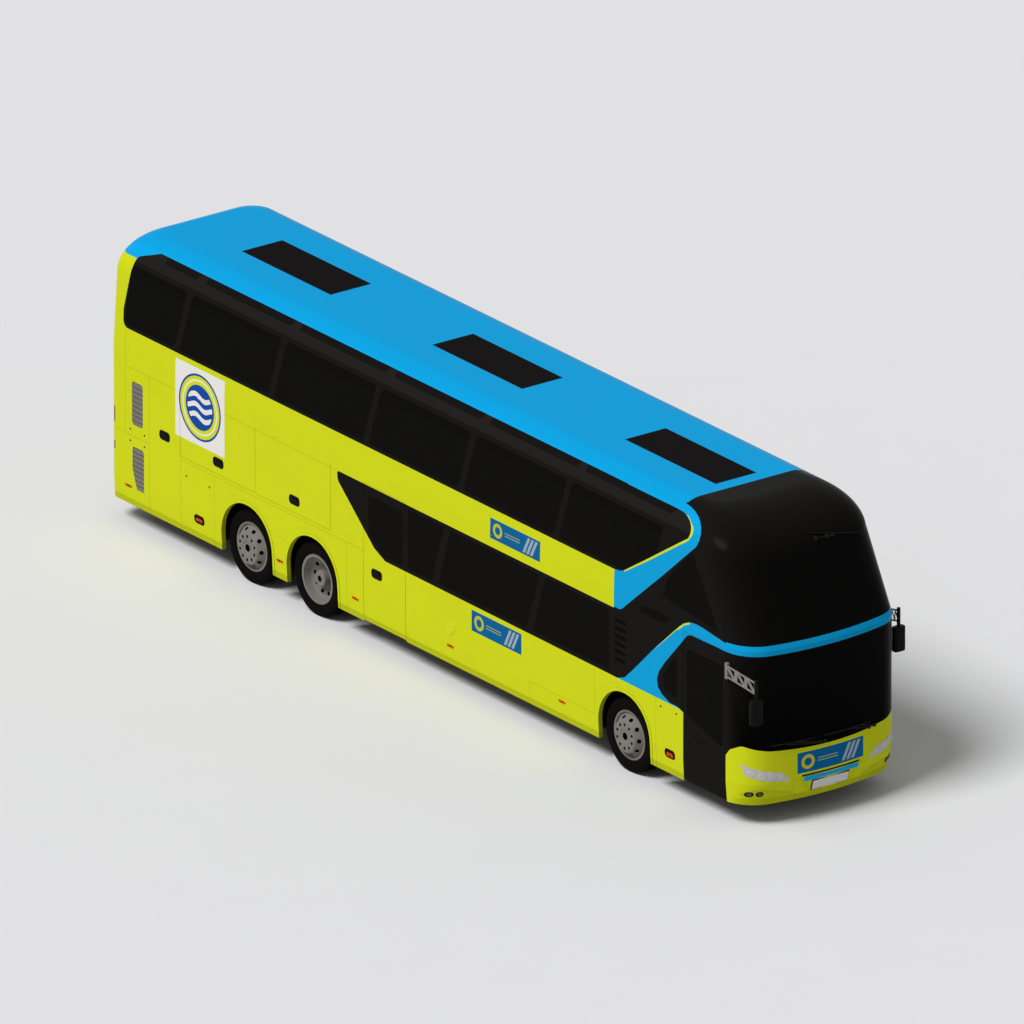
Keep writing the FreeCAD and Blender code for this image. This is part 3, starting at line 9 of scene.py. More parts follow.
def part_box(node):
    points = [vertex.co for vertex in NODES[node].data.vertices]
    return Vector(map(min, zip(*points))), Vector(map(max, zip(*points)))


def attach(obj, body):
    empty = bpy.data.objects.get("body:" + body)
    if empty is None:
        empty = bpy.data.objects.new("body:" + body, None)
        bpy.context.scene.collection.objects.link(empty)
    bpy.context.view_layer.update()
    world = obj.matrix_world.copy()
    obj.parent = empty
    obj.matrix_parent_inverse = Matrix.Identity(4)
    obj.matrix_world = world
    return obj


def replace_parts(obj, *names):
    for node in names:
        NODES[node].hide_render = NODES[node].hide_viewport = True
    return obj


# Looks of a double-deck coach. Metres, +X forward, +Y to the coach's left, +Z up.
# Lengths along the coach are given from the front axle.

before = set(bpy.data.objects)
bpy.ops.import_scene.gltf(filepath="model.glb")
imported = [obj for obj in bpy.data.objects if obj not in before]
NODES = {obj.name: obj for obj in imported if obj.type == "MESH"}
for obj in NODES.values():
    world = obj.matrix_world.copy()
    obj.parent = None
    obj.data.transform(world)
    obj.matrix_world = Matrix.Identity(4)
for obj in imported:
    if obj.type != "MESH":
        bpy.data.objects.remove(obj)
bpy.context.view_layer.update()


def middle(node):
    low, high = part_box(node)
    return (low + high) / 2


FRONT_AXLE = middle("tyre_front_right").x
DRIVE_AXLE = middle("tyres_drive_right").x
TAG_AXLE = middle("tyre_tag_right").x
HUB = middle("tyre_front_right").z
TYRE_R = HUB
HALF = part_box("wall_left")[1].y

# Colours as sRGB hex codes
YELLOW = "ccd41c"
BLUE = "0e9ad1"
# Painted light: a lighter copy of the blue for the roof and the top of the walls, which face up to the light
ROOF_BLUE_PAINTED_LIGHT = "0f9fdc"
PANE = "0c0b0a"
FRIT = "161513"
# Painted light: a lighter copy of the frit for the glass's curve into the roof
BEND_PAINTED_LIGHT = "1f1e1c"
BLACK = "0d0c0b"
DARK = "100f0e"
RIM_GREY = "7b7872"
TRUSS_GREY = "807d77"
# Painted shadow: near black inside each hole and bore of the wheels
HOLE_SHADOW = "020202"
GRILLE_GREY = "73706b"
WHITE = "e2dfdb"
AMBER = "cf4b08"
AMBER_DARK = "5a1204"
TAIL_AMBER = "8f5208"
RED = "8c0d0a"
LAMP_GREY = "b9b8b4"
DECAL_BLUE = "0d5e92"
DECAL_GREY = "9aa7ad"
DECAL_YELLOW = "b9b531"
DECAL_GREEN = "8fa06a"
BADGE_BLUE = "15489c"
LINING = "5b5d60"
TRIM = "141312"
# Painted shade on the screens: where the glass faces ahead, and deeper low on the front
SCREEN_PAINTED_SHADE = "080707"
SCREEN_PAINTED_DEEP_SHADE = "030303"


def linear(code, level=1.0):
    """A linear colour from an sRGB hex code."""
    parts = [int(code[k:k + 2], 16) / 255 for k in (0, 2, 4)]
    values = [part / 12.92 if part <= 0.04045 else ((part + 0.055) / 1.055) ** 2.4 for part in parts]
    return tuple(value * level for value in values) + (1.0,)


# Numbers that vary over a surface

class Field:
    """A number worked out by a material's nodes, combined with plain arithmetic."""

    def __init__(self, tree, socket):
        self.tree = tree
        self.socket = socket

    def math(self, operation, *others, clamp=False):
        node = self.tree.nodes.new("ShaderNodeMath")
        node.operation = operation
        node.use_clamp = clamp
        for slot, value in zip(node.inputs, (self,) + others):
            if isinstance(value, Field):
                self.tree.links.new(value.socket, slot)
            else:
                slot.default_value = value
        return Field(self.tree, node.outputs[0])

    def __add__(self, other):
        return self.math("ADD", other)

    def __sub__(self, other):
        return self.math("SUBTRACT", other)

    def __mul__(self, other):
        return self.math("MULTIPLY", other)

    def __neg__(self):
        return self.math("MULTIPLY", -1.0)

    def size(self):
        return self.math("ABSOLUTE")

    def most(self, other, blend=0.0):
        return self.math("SMOOTH_MAX", other, blend) if blend else self.math("MAXIMUM", other)

    def least(self, other):
        return self.math("MINIMUM", other)

    def within(self, edge=0.002):
        """1 where the number is below zero, with a soft edge."""
        return self.math("MULTIPLY_ADD", -1 / edge, 0.5, clamp=True)

    def beyond(self, edge=0.002):
        """1 where the number is above zero, with a soft edge."""
        return (-self).within(edge)


def least_of(fields):
    result = fields[0]
    for field in fields[1:]:
        result = result.least(field)
    return result


def line_gap(x, z, start, end):
    """Signed distance to the line through two points, negative on its left."""
    along = Vector((end[0] - start[0], end[1] - start[1]))
    normal = Vector((along.y, -along.x)).normalized()
    offset = normal.x * start[0] + normal.y * start[1]
    return x * normal.x + z * normal.y - offset


def convex(x, z, points, blend=0.0):
    """Negative inside a convex outline whose corners run anticlockwise."""
    gaps = [line_gap(x, z, start, end) for start, end in zip(points, points[1:] + points[:1])]
    result = gaps[0]
    for gap in gaps[1:]:
        result = result.most(gap, blend)
    return result


def rect(x, z, centre_x, centre_z, half_x, half_z, around=0.0):
    """Negative inside an upright rectangle, with round corners if asked."""
    across = (x - centre_x).size() - (half_x - around)
    up = (z - centre_z).size() - (half_z - around)
    flat = across.most(up)
    if not around:
        return flat
    corner_x, corner_z = across.most(0.0), up.most(0.0)
    round_part = (corner_x * corner_x + corner_z * corner_z).math("SQRT")
    return round_part + flat.least(0.0) - around


def disc(x, z, centre_x, centre_z, radius):
    across, up = x - centre_x, z - centre_z
    return (across * across + up * up).math("SQRT") - radius


class Surface:
    """A material with the object's own coordinates, layered colours, gloss and relief."""

    def __init__(self, name, roughness=0.35, specular=0.4, metallic=0.0):
        self.material = bpy.data.materials.new(name)
        self.material.use_nodes = True
        self.tree = self.material.node_tree
        self.shader = self.tree.nodes["Principled BSDF"]
        self.shader.inputs["Roughness"].default_value = roughness
        self.shader.inputs["Specular IOR Level"].default_value = specular
        self.shader.inputs["Metallic"].default_value = metallic
        coords = self.tree.nodes.new("ShaderNodeTexCoord")
        # An object's own coordinates are the frame's at rest
        self.place = coords.outputs["Object"]
        split = self.tree.nodes.new("ShaderNodeSeparateXYZ")
        self.tree.links.new(self.place, split.inputs[0])
        self.x = Field(self.tree, split.outputs[0]) - FRONT_AXLE
        self.y = Field(self.tree, split.outputs[1])
        self.z = Field(self.tree, split.outputs[2])
        turn = self.tree.nodes.new("ShaderNodeSeparateXYZ")
        self.tree.links.new(coords.outputs["Normal"], turn.inputs[0])
        self.face = [Field(self.tree, output) for output in turn.outputs]
        self.colour = None
        self.relief = None

    def noise(self, scale, detail=3.0):
        node = self.tree.nodes.new("ShaderNodeTexNoise")
        node.inputs["Scale"].default_value = scale
        node.inputs["Detail"].default_value = detail
        self.tree.links.new(self.place, node.inputs["Vector"])
        return Field(self.tree, node.outputs[0])

    def ground(self, code, low, high, scale, detail=3.0):
        """Start with a colour that wanders between two near shades."""
        self.layer(self.noise(scale, detail), linear(code, low), linear(code, high))

    def layer(self, mask, top, below=None, way="MIX"):
        """Put a colour over what is there, where the mask is 1."""
        mix = self.tree.nodes.new("ShaderNodeMix")
        mix.data_type = "RGBA"
        mix.blend_type = way
        self.tree.links.new(mask.socket, mix.inputs["Factor"])
        if below is None:
            self.tree.links.new(self.colour, mix.inputs["A"])
        else:
            mix.inputs["A"].default_value = below
        mix.inputs["B"].default_value = top if isinstance(top, tuple) else linear(top)
        self.colour = mix.outputs["Result"]

    def shade(self, mask, level):
        """Darken what is there where the mask is 1."""
        self.layer(mask, (level, level, level, 1.0), way="MULTIPLY")

    def rough(self, field, low, high):
        spread = field * (high - low) + low
        self.tree.links.new(spread.socket, self.shader.inputs["Roughness"])

    def raise_by(self, field, height):
        part = field * height
        self.relief = part if self.relief is None else self.relief + part

    def done(self):
        self.tree.links.new(self.colour, self.shader.inputs["Base Color"])
        if self.relief is not None:
            bump = self.tree.nodes.new("ShaderNodeBump")
            bump.inputs["Distance"].default_value = 1.0
            self.tree.links.new(self.relief.socket, bump.inputs["Height"])
            self.tree.links.new(bump.outputs[0], self.shader.inputs["Normal"])
        return self.material


# Places on the side of the body, from the front axle and the ground

BLUE_START = -0.23
BLUE_LOW = 1.270
BLUE_HIGH = 3.735
UPPER_LOW, UPPER_HIGH = 2.80, 3.64
PANE_PITCH, PANE_LEAN = 2.065, 0.255
SEAM = 0.005
UPRIGHT_SEAMS = ((-10.877, 1.28, 2.76), (-10.35, 0.30, 2.22), (-9.655, 0.30, 1.61), (-8.92, 0.30, 1.28),
                 (-6.02, 0.30, 1.28), (-2.05, 0.30, 0.62), (-0.648, 0.62, 1.27), (0.675, 0.30, 1.27))
LEVEL_SEAMS = ((2.22, -10.88, -6.23), (1.28, -11.07, -10.35), (1.282, -9.655, -5.65), (0.62, -2.05, -0.65))
# Outlines of the livery round the front glass, anticlockwise: the upper panes, the blue band
# with all behind it, the swoosh over the door, the quarter pane, and the yellow edge of the panes
UPPER_DARK = ((-3.0, 2.745), (-0.206, 2.755), (-0.098, 2.768), (0.008, 2.815), (0.451, 3.103),
              (1.247, 3.612), (1.285, 3.648), (1.293, 3.701), (1.281, 3.747), (1.247, 3.786),
              (1.181, 3.826), (1.095, 3.855), (0.992, 3.874), (0.874, 3.880), (-3.0, 3.880))
BAND = ((-3.0, 2.25), (-0.214, 2.237), (-0.17, 2.233), (-0.105, 2.238), (-0.04, 2.267), (0.046, 2.322),
        (0.843, 3.030), (1.417, 3.522), (1.482, 3.615), (1.500, 3.685), (1.483, 3.754), (1.433, 3.812),
        (1.355, 3.860), (1.259, 3.896), (1.145, 3.921), (1.021, 3.937), (0.891, 3.945), (-3.0, 4.10))
SWOOSH = ((0.09, 0.2), (3.0, 0.2), (3.0, 2.400), (2.125, 2.495), (1.689, 2.544), (1.537, 2.551),
          (1.408, 2.537), (1.259, 2.477), (1.130, 2.367), (0.653, 1.944), (0.09, 1.40))
QUARTER = ((0.718, 1.422), (0.805, 1.352), (0.957, 1.289), (1.217, 1.232), (3.0, 0.89), (3.0, 2.385),
           (1.44, 2.368), (1.355, 2.345), (1.217, 2.195), (0.870, 1.818), (0.740, 1.652), (0.697, 1.526))
STRIPE = ((-0.02, 2.780), (0.451, 3.070), (1.243, 3.582), (1.300, 3.627), (1.339, 3.700), (1.322, 3.755),
          (1.285, 3.790), (1.20, 3.825), (1.10, 3.862), (-0.02, 3.88))
SWOOSH_EDGE = ((0.62, 1.915), (1.13, 2.367), (1.259, 2.470), (1.39, 2.530))
SWOOSH_HALVES = (0.010, 0.026, 0.024)
SILL = 0.386


def segment_gap(x, z, start, end, half):
    """Negative within a strip along a straight piece of a line."""
    middle_x, middle_z = (start[0] + end[0]) / 2, (start[1] + end[1]) / 2
    long = math.dist(start, end)
    cosine, sine = (end[0] - start[0]) / long, (end[1] - start[1]) / long
    along = (x - middle_x) * cosine + (z - middle_z) * sine
    across = (z - middle_z) * cosine - (x - middle_x) * sine
    return (along.size() - long / 2).most(across.size() - half)


def seam_field(s):
    x, z = s.x, s.z
    gaps = [rect(x, z, at, (low + high) / 2, SEAM, (high - low) / 2) for at, low, high in UPRIGHT_SEAMS]
    gaps += [rect(x, z, (rear + front) / 2, level, (front - rear) / 2, SEAM)
             for level, rear, front in LEVEL_SEAMS]
    return least_of(gaps)


# The printed badge: its place and half sizes, its discs from the outside in, its ring and its waves
BADGE_AT = (-9.23, 2.142)
BADGE_HALVES = (0.54, 0.535)
BADGE_DISCS = ((0.46, BADGE_BLUE), (0.43, YELLOW), (0.31, BADGE_BLUE))
BADGE_RING, BADGE_RING_HALF = 0.37, 0.012
WAVE_TURN, WAVE_RISE, WAVE_HALF, WAVE_REACH = 16.0, 0.03, 0.035, 0.27
WAVE_STEPS = (-0.14, 0.0, 0.14)


def badge(s):
    """A plain printed square: a ringed disc with three wave bars."""
    x, z = s.x, s.z
    s.layer(rect(x, z, *BADGE_AT, *BADGE_HALVES).within(), WHITE)
    for radius, colour in BADGE_DISCS:
        s.layer(disc(x, z, *BADGE_AT, radius).within(), colour)
    wave = (x * WAVE_TURN).math("SINE") * WAVE_RISE
    bars = [(z - wave - (BADGE_AT[1] + step)).size() - WAVE_HALF for step in WAVE_STEPS]
    s.layer(least_of(bars).most(disc(x, z, *BADGE_AT, WAVE_REACH)).within(), WHITE)
    ring = disc(x, z, *BADGE_AT, BADGE_RING).size() - BADGE_RING_HALF
    s.layer(ring.within(), WHITE)


# The printed strips: middle along and up, and half sizes, then shares of the half sizes
FRONT_STRIP = (0.0, 0.823, 0.53, 0.142)
UPPER_STRIP = (-2.36, 2.48, 0.54, 0.14)
LOWER_STRIP = (-2.76, 1.067, 0.54, 0.145)
RING_BACK_SHARE, RING_SHARE, RING_HALF_SHARE = 0.7, 0.55, 0.16
BAR_SHARES = (0.45, 0.6, 0.75)
BAR_LEAN, BAR_STEP_SHARE, BAR_HIGH_SHARE = 0.5, 0.14, 0.8
LINE_SHARES = (-0.12, 0.14)
LINE_BACK_SHARE, LINE_LONG_SHARE, LINE_HALF_SHARE = 0.12, 0.3, 0.05


def banner(s, across, up, centre_a, centre_u, half_a, half_u):
    """A blue printed strip: a ring at one end, slanting bars at the other, plain lines between."""
    s.layer(rect(across, up, centre_a, centre_u, half_a, half_u).within(), DECAL_BLUE)
    ring = disc(across, up, centre_a - half_a * RING_BACK_SHARE, centre_u, half_u * RING_SHARE)
    s.layer((ring.size() - half_u * RING_HALF_SHARE).within(), DECAL_YELLOW)
    slant = across - up * BAR_LEAN
    step = half_a * BAR_STEP_SHARE
    root = centre_a - centre_u * BAR_LEAN
    bars = [(slant - (root + half_a * share)).size() - step / 3 for share in BAR_SHARES]
    inside = rect(across, up, centre_a, centre_u, half_a, half_u * BAR_HIGH_SHARE)
    s.layer(least_of(bars).most(inside).within(), DECAL_GREY)
    lines = [rect(across, up, centre_a - half_a * LINE_BACK_SHARE, centre_u + shift * half_u,
                  half_a * LINE_LONG_SHARE, half_u * LINE_HALF_SHARE) for shift in LINE_SHARES]
    s.layer(least_of(lines).within(), DECAL_GREEN)


# The bumper's lines and bays, as distance from the middle and height
FRONT_SEAMS = (((0.600, 0.605), (0.517, 0.340)), ((0.600, 0.605), (0.470, 0.612)),
               ((0.487, 0.600), (0.335, 0.405)), ((0.95, 0.530), (0.572, 0.445)),
               ((1.20, 0.455), (1.06, 0.527)), ((1.06, 0.527), (0.95, 0.530)))
BAY = ((0.540, 0.385), (1.17, 0.372), (1.20, 0.455), (1.06, 0.527), (0.95, 0.530), (0.572, 0.445))
# How far inside the bay's outline, and above what height, a band of painted shade lies under its top edge
BAY_STEP, BAY_SHOULDER = 0.03, 0.44
CENTRE_BAY = ((-0.335, 0.405), (0.335, 0.405), (0.487, 0.600), (-0.487, 0.600))
SPRAY_CAP = (-1.0, 0.615, 0.022)


def front_marks(s):
    """Panel lines of the bumper, its shallow lower bay and the recess round the plate with painted shade in
    both, and the printed strip.
    """
    across, z = s.y.size(), s.z
    lines = least_of([segment_gap(across, z, start, stop, 0.0) for start, stop in FRONT_SEAMS])
    s.shade(lines.within(0.012), 0.5)
    s.raise_by(lines.within(0.006), -0.0015)
    bay = convex(across, z, BAY)
    # Painted shade in the bay, and more in a band just inside its upper edge.
    s.shade(bay.within(0.012), 0.88)
    s.shade((bay + BAY_STEP).size().within(0.05).least((z - BAY_SHOULDER).beyond(0.05)), 0.9)
    s.raise_by(bay.within(0.03), -0.004)
    s.shade(disc(s.y, z, *SPRAY_CAP).size().within(0.012), 0.8)
    # Painted shade in the recess round the plate.
    s.shade(convex(across, z, CENTRE_BAY).within(0.01), 0.95)
    banner(s, s.y, z, *FRONT_STRIP)


def dark_zone(s):
    """1 on the dark glass zones round the front, 0 on the painted ones."""
    x, z = s.x, s.z
    beyond = convex(x, z, BAND).least(convex(x, z, SWOOSH)).beyond()
    inside = convex(x, z, UPPER_DARK).least(convex(x, z, QUARTER)).within()
    return beyond.most(inside)


# Corners, along and up, ahead of and above which the outlines of the front zones count
ZONE_CORNERS = ((0.12, 1.45), (BLUE_START, 2.0), (0.6, 1.285))


def front_zone(s):
    """1 where the outlines of the front zones count."""
    low, high, door_rear = [(s.z - up).beyond().least((s.x - along).beyond()) for along, up in ZONE_CORNERS]
    return low.most(high).most(door_rear)


# Where the paint darkens: levels of the dark seams and roof gutters and of painted shade on the sill, the
# crease between the rear wheels, the flares, the cut edges and the nose; then the crease, the flares and the
# cut edges
SILL_SHADE, SEAM_SHADE, CREASE_SHADE, FLARE_SHADE = 0.76, 0.78, 0.82, 0.9
REVEAL_SHADE, NOSE_SHADE, GUTTER_SHADE = 0.6, 0.87, 0.9
CREASE = ((-7.82, 0.93), (-7.22, 0.86), 0.003)
AXLES = (0.0, DRIVE_AXLE - FRONT_AXLE, TAG_AXLE - FRONT_AXLE)
FLARE_BACK, FLARE_UP, FLARE_RADIUS, FLARE_LOW = 0.03, 0.52, 0.68, 0.95
REVEAL_TOP, REVEAL_REAR = 1.15, -10.9
GUTTERS = (0.997, 0.957)
CORNER_OUT, CORNER_AHEAD = 0.93, 0.885


def coach_paint(name, inward, side=False, front=False, roof=False, base=YELLOW, specular=0.01):
    """Gloss paint with the livery's zones, panel seams, a faint grime, and painted shade on the sill, the
    crease, the flares, the cut edges and the nose.
    """
    s = Surface(name, roughness=0.3, specular=specular)
    s.ground(base, 0.95, 1.0, 0.9, 2.0)
    x, z = s.x, s.z
    if base == YELLOW:
        # Painted shade: a darker band along the bottom of the sill, where the panel turns down; on the front
        # only where the faces look ahead.
        sill = (z - SILL).within(0.01)
        s.shade(sill.least((s.face[0] - 0.4).beyond(0.3)) if front else sill, SILL_SHADE)
    if side:
        s.layer((x - BLUE_START).beyond().least((z - BLUE_LOW).beyond()), BLUE)
        # Painted light: the top of the walls in the lighter copy of the blue.
        s.layer((z - BLUE_HIGH).beyond(), ROOF_BLUE_PAINTED_LIGHT)
        strips = [segment_gap(x, z, start, stop, half)
                  for start, stop, half in zip(SWOOSH_EDGE, SWOOSH_EDGE[1:], SWOOSH_HALVES)]
        strips.append(convex(x, z, STRIPE))
        s.layer(least_of(strips).within(), YELLOW)
        s.layer(dark_zone(s).least(front_zone(s)), FRIT)
        seams = seam_field(s)
        s.shade(seams.within(0.0025), SEAM_SHADE)
        s.raise_by(seams.within(0.003), -0.001)
        # Painted shade along the crease between the rear wheels.
        s.shade(segment_gap(x, z, *CREASE).within(0.012), CREASE_SHADE)
        # Painted shade in a thin arc over each wheel arch, fading out low down and ahead of the axle.
        for axle in AXLES:
            flare = disc(x, z, axle - FLARE_BACK, FLARE_UP, FLARE_RADIUS).size() - 0.002
            above = (z - FLARE_LOW).beyond(0.25)
            s.shade(flare.within(0.03).least(above).least((x - axle - 0.1).within(0.3)), FLARE_SHADE)
        # Painted shade on the cut edges round the wheel arches, below the arches' tops and ahead of the rear
        # corner.
        reveal_painted_shade = (s.face[1].size() - 0.35).within(0.2).least((z - REVEAL_TOP).within())
        s.shade(reveal_painted_shade.least((x - REVEAL_REAR).beyond()), REVEAL_SHADE)
        badge(s)
        banner(s, x, z, *UPPER_STRIP)
        banner(s, x, z, *LOWER_STRIP)
    if front:
        # Painted shade on faces that look straight ahead, which are turned from the light.
        s.shade((s.face[0] - 0.75).beyond(0.4), NOSE_SHADE)
    if front and base == YELLOW:
        front_marks(s)
    if roof:
        corner = (s.y.size() - CORNER_OUT).beyond().least((x - CORNER_AHEAD).beyond())
        s.layer(convex(x, z, BAND).beyond().least(corner), FRIT)
        for at in GUTTERS:
            s.shade(((s.y.size() - at).size() - 0.003).within(0.006), GUTTER_SHADE)
    s.layer((inward(s) + 0.3).within(0.1), LINING)
    s.rough(s.noise(6.0, 5.0), 0.24, 0.36)
    s.raise_by(s.noise(160.0, 1.0), 0.00006)
    return s.done()


# Panes of the lower deck and the front quarter, anticlockwise
LOWER_PANES = (
    ((-5.55, 1.625), (-5.48, 1.50), (-5.22, 1.335), (-4.80, 1.34), (-4.80, 2.09), (-5.55, 2.09)),
    ((-4.68, 1.337), (-4.17, 1.337), (-3.89, 2.166), (-4.68, 2.166)),
    ((-4.02, 1.337), (-2.12, 1.337), (-1.82, 2.166), (-3.76, 2.166)),
    ((-1.97, 1.337), (-0.33, 1.337), (-0.33, 2.166), (-1.71, 2.166)),
    ((0.284, 2.336), (0.847, 2.340), (0.977, 2.451), (0.436, 2.468)),
    ((0.86, 1.42), (1.12, 1.40), (1.14, 1.96), (1.06, 1.96), (0.82, 1.60)),
    ((0.82, 2.70), (2.0, 2.59), (1.41, 3.50), (0.90, 2.99)),
)
PANE_ROUND = 0.03
PANE_START, PANE_GAP, PANE_CORNER = -1.49, 0.12, 0.06
SIDE_PANES_REAR = -10.86
LAST_PANE_EDGE = ((0.58, 3.0), (0.76, 3.60))
# Dark printed panels on the curve above the upper panes
SHOULDER_SHIFT, SHOULDER_AT, SHOULDER_HALF, SHOULDER_CORNER = 0.03, 3.875, 0.065, 0.05
SHOULDER_REAR, SHOULDER_FRONT = -10.2, 0.9
# Above this height the side glass is painted lighter, as painted light on the curve into the roof
BEND_LOW = 3.70


def pane_bay(run):
    """Distance along from the middle of the pane that a place falls in."""
    turn = run * (1 / PANE_PITCH) + 0.5
    return (turn - turn.math("FLOOR") - 0.5) * PANE_PITCH


def frit_glass(name, side=False, screen=False):
    """Dark bonded glass with a printed border round each pane; painted shade on the screens where they face
    ahead, and painted light on the side glass's curve into the roof.
    """
    s = Surface(name, roughness=0.22, specular=0.01)
    s.ground(FRIT, 0.94, 1.0, 1.5, 2.0)
    x, z = s.x, s.z
    if screen:
        # Painted shade: the screens darken where they turn to face ahead, and most low on the front screen.
        s.layer((s.face[0] - 0.65).beyond(0.8), SCREEN_PAINTED_SHADE)
        s.layer((z - 1.7).within(1.0).least((s.face[0] - 0.3).beyond(0.5)), SCREEN_PAINTED_DEEP_SHADE)
        s.layer(convex(x, z, BAND).within().least((s.y.size() - 0.9).beyond()), BLUE)
    if side:
        # Painted light on the curve into the roof.
        s.layer((z - BEND_LOW).beyond(0.02), BEND_PAINTED_LIGHT)
        lean = (z - UPPER_LOW) * (PANE_LEAN / (UPPER_HIGH - UPPER_LOW))
        run = x - lean - PANE_START - PANE_PITCH / 2
        half = (PANE_PITCH - PANE_GAP) / 2
        panes = rect(pane_bay(run), z, 0.0, (UPPER_LOW + UPPER_HIGH) / 2,
                     half, (UPPER_HIGH - UPPER_LOW) / 2, PANE_CORNER)
        panes = panes.most(-(x - SIDE_PANES_REAR)).most(line_gap(x, z, *LAST_PANE_EDGE))
        s.layer(panes.within(0.004), PANE)
        shoulder = rect(pane_bay(run - SHOULDER_SHIFT), z, 0.0, SHOULDER_AT,
                        half - 0.02, SHOULDER_HALF, SHOULDER_CORNER)
        shoulder = shoulder.most(-(x - SHOULDER_REAR)).most(x - SHOULDER_FRONT)
        s.layer(shoulder.within(0.004), TRIM)
        for points in LOWER_PANES:
            s.layer(convex(x, z, points, PANE_ROUND).within(0.004), PANE)
        painted = (dark_zone(s) - 0.5).within(0.4).least(front_zone(s))
        s.layer(painted, BLUE)
        s.layer(painted.least(convex(x, z, STRIPE).within()), YELLOW)
    s.rough(s.noise(9.0, 4.0), 0.16, 0.3)
    return s.done()


def plain(name, code, roughness=0.5, specular=0.08, metallic=0.0, scale=40.0, relief=0.0002, spread=0.12):
    """A moulded, cast or painted surface with fine grain and slight wandering of shade."""
    s = Surface(name, roughness, specular, metallic)
    s.ground(code, 1 - spread, 1 + spread / 2, scale / 8)
    s.rough(s.noise(scale / 3, 4.0), max(roughness - 0.1, 0.05), roughness + 0.1)
    s.raise_by(s.noise(scale, 3.0), relief)
    return s.done()


DOOR_DARK = ((1.1, 0.2), (2.4, 0.2), (2.4, 2.378), (1.44, 2.368), (1.355, 2.345), (1.300, 2.29), (1.1, 2.07))


def door_black():
    """Dark leaf of the front door, with the livery's blue over its rear top corner."""
    s = Surface("door_black", 0.35, 0.01)
    s.ground(FRIT, 0.92, 1.04, 5.0)
    s.layer(convex(s.x, s.z, DOOR_DARK).beyond(), BLUE)
    s.rough(s.noise(13.0, 4.0), 0.25, 0.4)
    return s.done()


def dress(material, *nodes):
    """Give CAD nodes a finish."""
    for node in nodes:
        mesh = NODES[node].data
        mesh.materials.clear()
        mesh.materials.append(material)


SIDES = ("right", "left")
# The second value falls below zero on faces that look into the cabin
side_paint = coach_paint("side_paint", lambda s: s.face[1] * s.y, side=True)
for side in SIDES:
    dress(side_paint, "wall_" + side, "flap_front_" + side, "flap_rear_" + side)
dress(coach_paint("rear_paint", lambda s: -s.face[0], side=True), "rear_wall", "engine_lid")
dress(coach_paint("front_paint", lambda s: s.face[0], front=True), "front_bumper")
# The roof paint is the lighter copy of the blue, as painted light.
dress(coach_paint("roof_paint", lambda s: s.face[2], roof=True, base=ROOF_BLUE_PAINTED_LIGHT, specular=0.005), "roof_panel")
dress(coach_paint("belt_paint", lambda s: s.face[0], front=True, base=BLUE), "front_belt")
dress(frit_glass("side_glass", side=True), "side_glass_right", "side_glass_left", "door_rear_pane")
dress(frit_glass("screen_glass", screen=True), "windscreen_lower", "windscreen_upper", "rear_glass")
dress(plain("door_pane", PANE, 0.2, 0.01, scale=30.0), "door_front_pane")
dress(plain("hatch_glass", "131111", 0.25, 0.002), "skylights")
dress(door_black(), "door_front")
dress(side_paint, "door_rear")
dress(plain("frame_steel", "1c1c1d", 0.55, 0.1), "chassis_frame", "arms_front", "arms_rear")
dress(plain("axle_iron", "232324", 0.6, 0.15), "axle_front", "axles_rear", "knuckle_right", "knuckle_left")
dress(plain("floor_mat", "2b2b2d", 0.8, 0.08, scale=300.0), "deck_lower", "deck_upper")
dress(plain("seat_cloth", "242c48", 0.9, 0.15, scale=500.0), "seats")
dress(plain("console_grain", "18181a", 0.6, 0.25, scale=350.0), "dashboard")
dress(plain("engine_iron", "3a3a3b", 0.6, 0.15), "engine")
dress(plain("lamp_clear", LAMP_GREY, 0.15, 0.15), "headlamps")


TAIL_AMBER_OUT = 1.17
TAIL_RIBS, MARKER_RIBS = 180.0, 400.0


def tail_lens():
    """Red lamps with amber outer ends."""
    s = Surface("lamp_red", 0.2, 0.05)
    s.ground(RED, 0.9, 1.0, 30.0)
    s.layer((s.y.size() - TAIL_AMBER_OUT).beyond(), TAIL_AMBER)
    s.raise_by((s.y * TAIL_RIBS).math("SINE"), 0.0002)
    return s.done()


# Front ends of the right and left lattice, its lowest level, and how far out both start
TRUSS_ENDS = (2.925, 2.33)
TRUSS_LOW, TRUSS_OUT = 2.0, 1.0


def mirror_finish():
    """Black heads and posts, and a light-grey painted lattice."""
    s = Surface("mirror_black", 0.5, 0.04)
    s.ground(DARK, 0.9, 1.1, 40.0)
    right = (s.x - TRUSS_ENDS[0]).within().least((s.y + TRUSS_OUT).within())
    left = (s.x - TRUSS_ENDS[1]).within().least((s.y - TRUSS_OUT).beyond())
    s.layer(right.most(left).least((s.z - TRUSS_LOW).beyond()), TRUSS_GREY)
    s.rough(s.noise(90.0), 0.4, 0.6)
    s.raise_by(s.noise(300.0), 0.0002)
    return s.done()


def rim_finish(name, axle, bore):
    """Wheel paint, slightly darker towards the middle, with the bore painted near black as shadow."""
    s = Surface(name, 0.45, 0.05)
    s.ground(RIM_GREY, 0.93, 1.05, 6.0)
    centre = axle - FRONT_AXLE
    # Slightly darker towards the middle.
    s.shade(disc(s.x, s.z, centre, HUB, 0.30).within(0.2), 0.97)
    # Painted shadow: the bore is painted near black.
    s.layer(disc(s.x, s.z, centre, HUB, bore).within(), HOLE_SHADOW)
    s.rough(s.noise(14.0), 0.38, 0.55)
    s.raise_by(s.noise(60.0), 0.0002)
    return s.done()


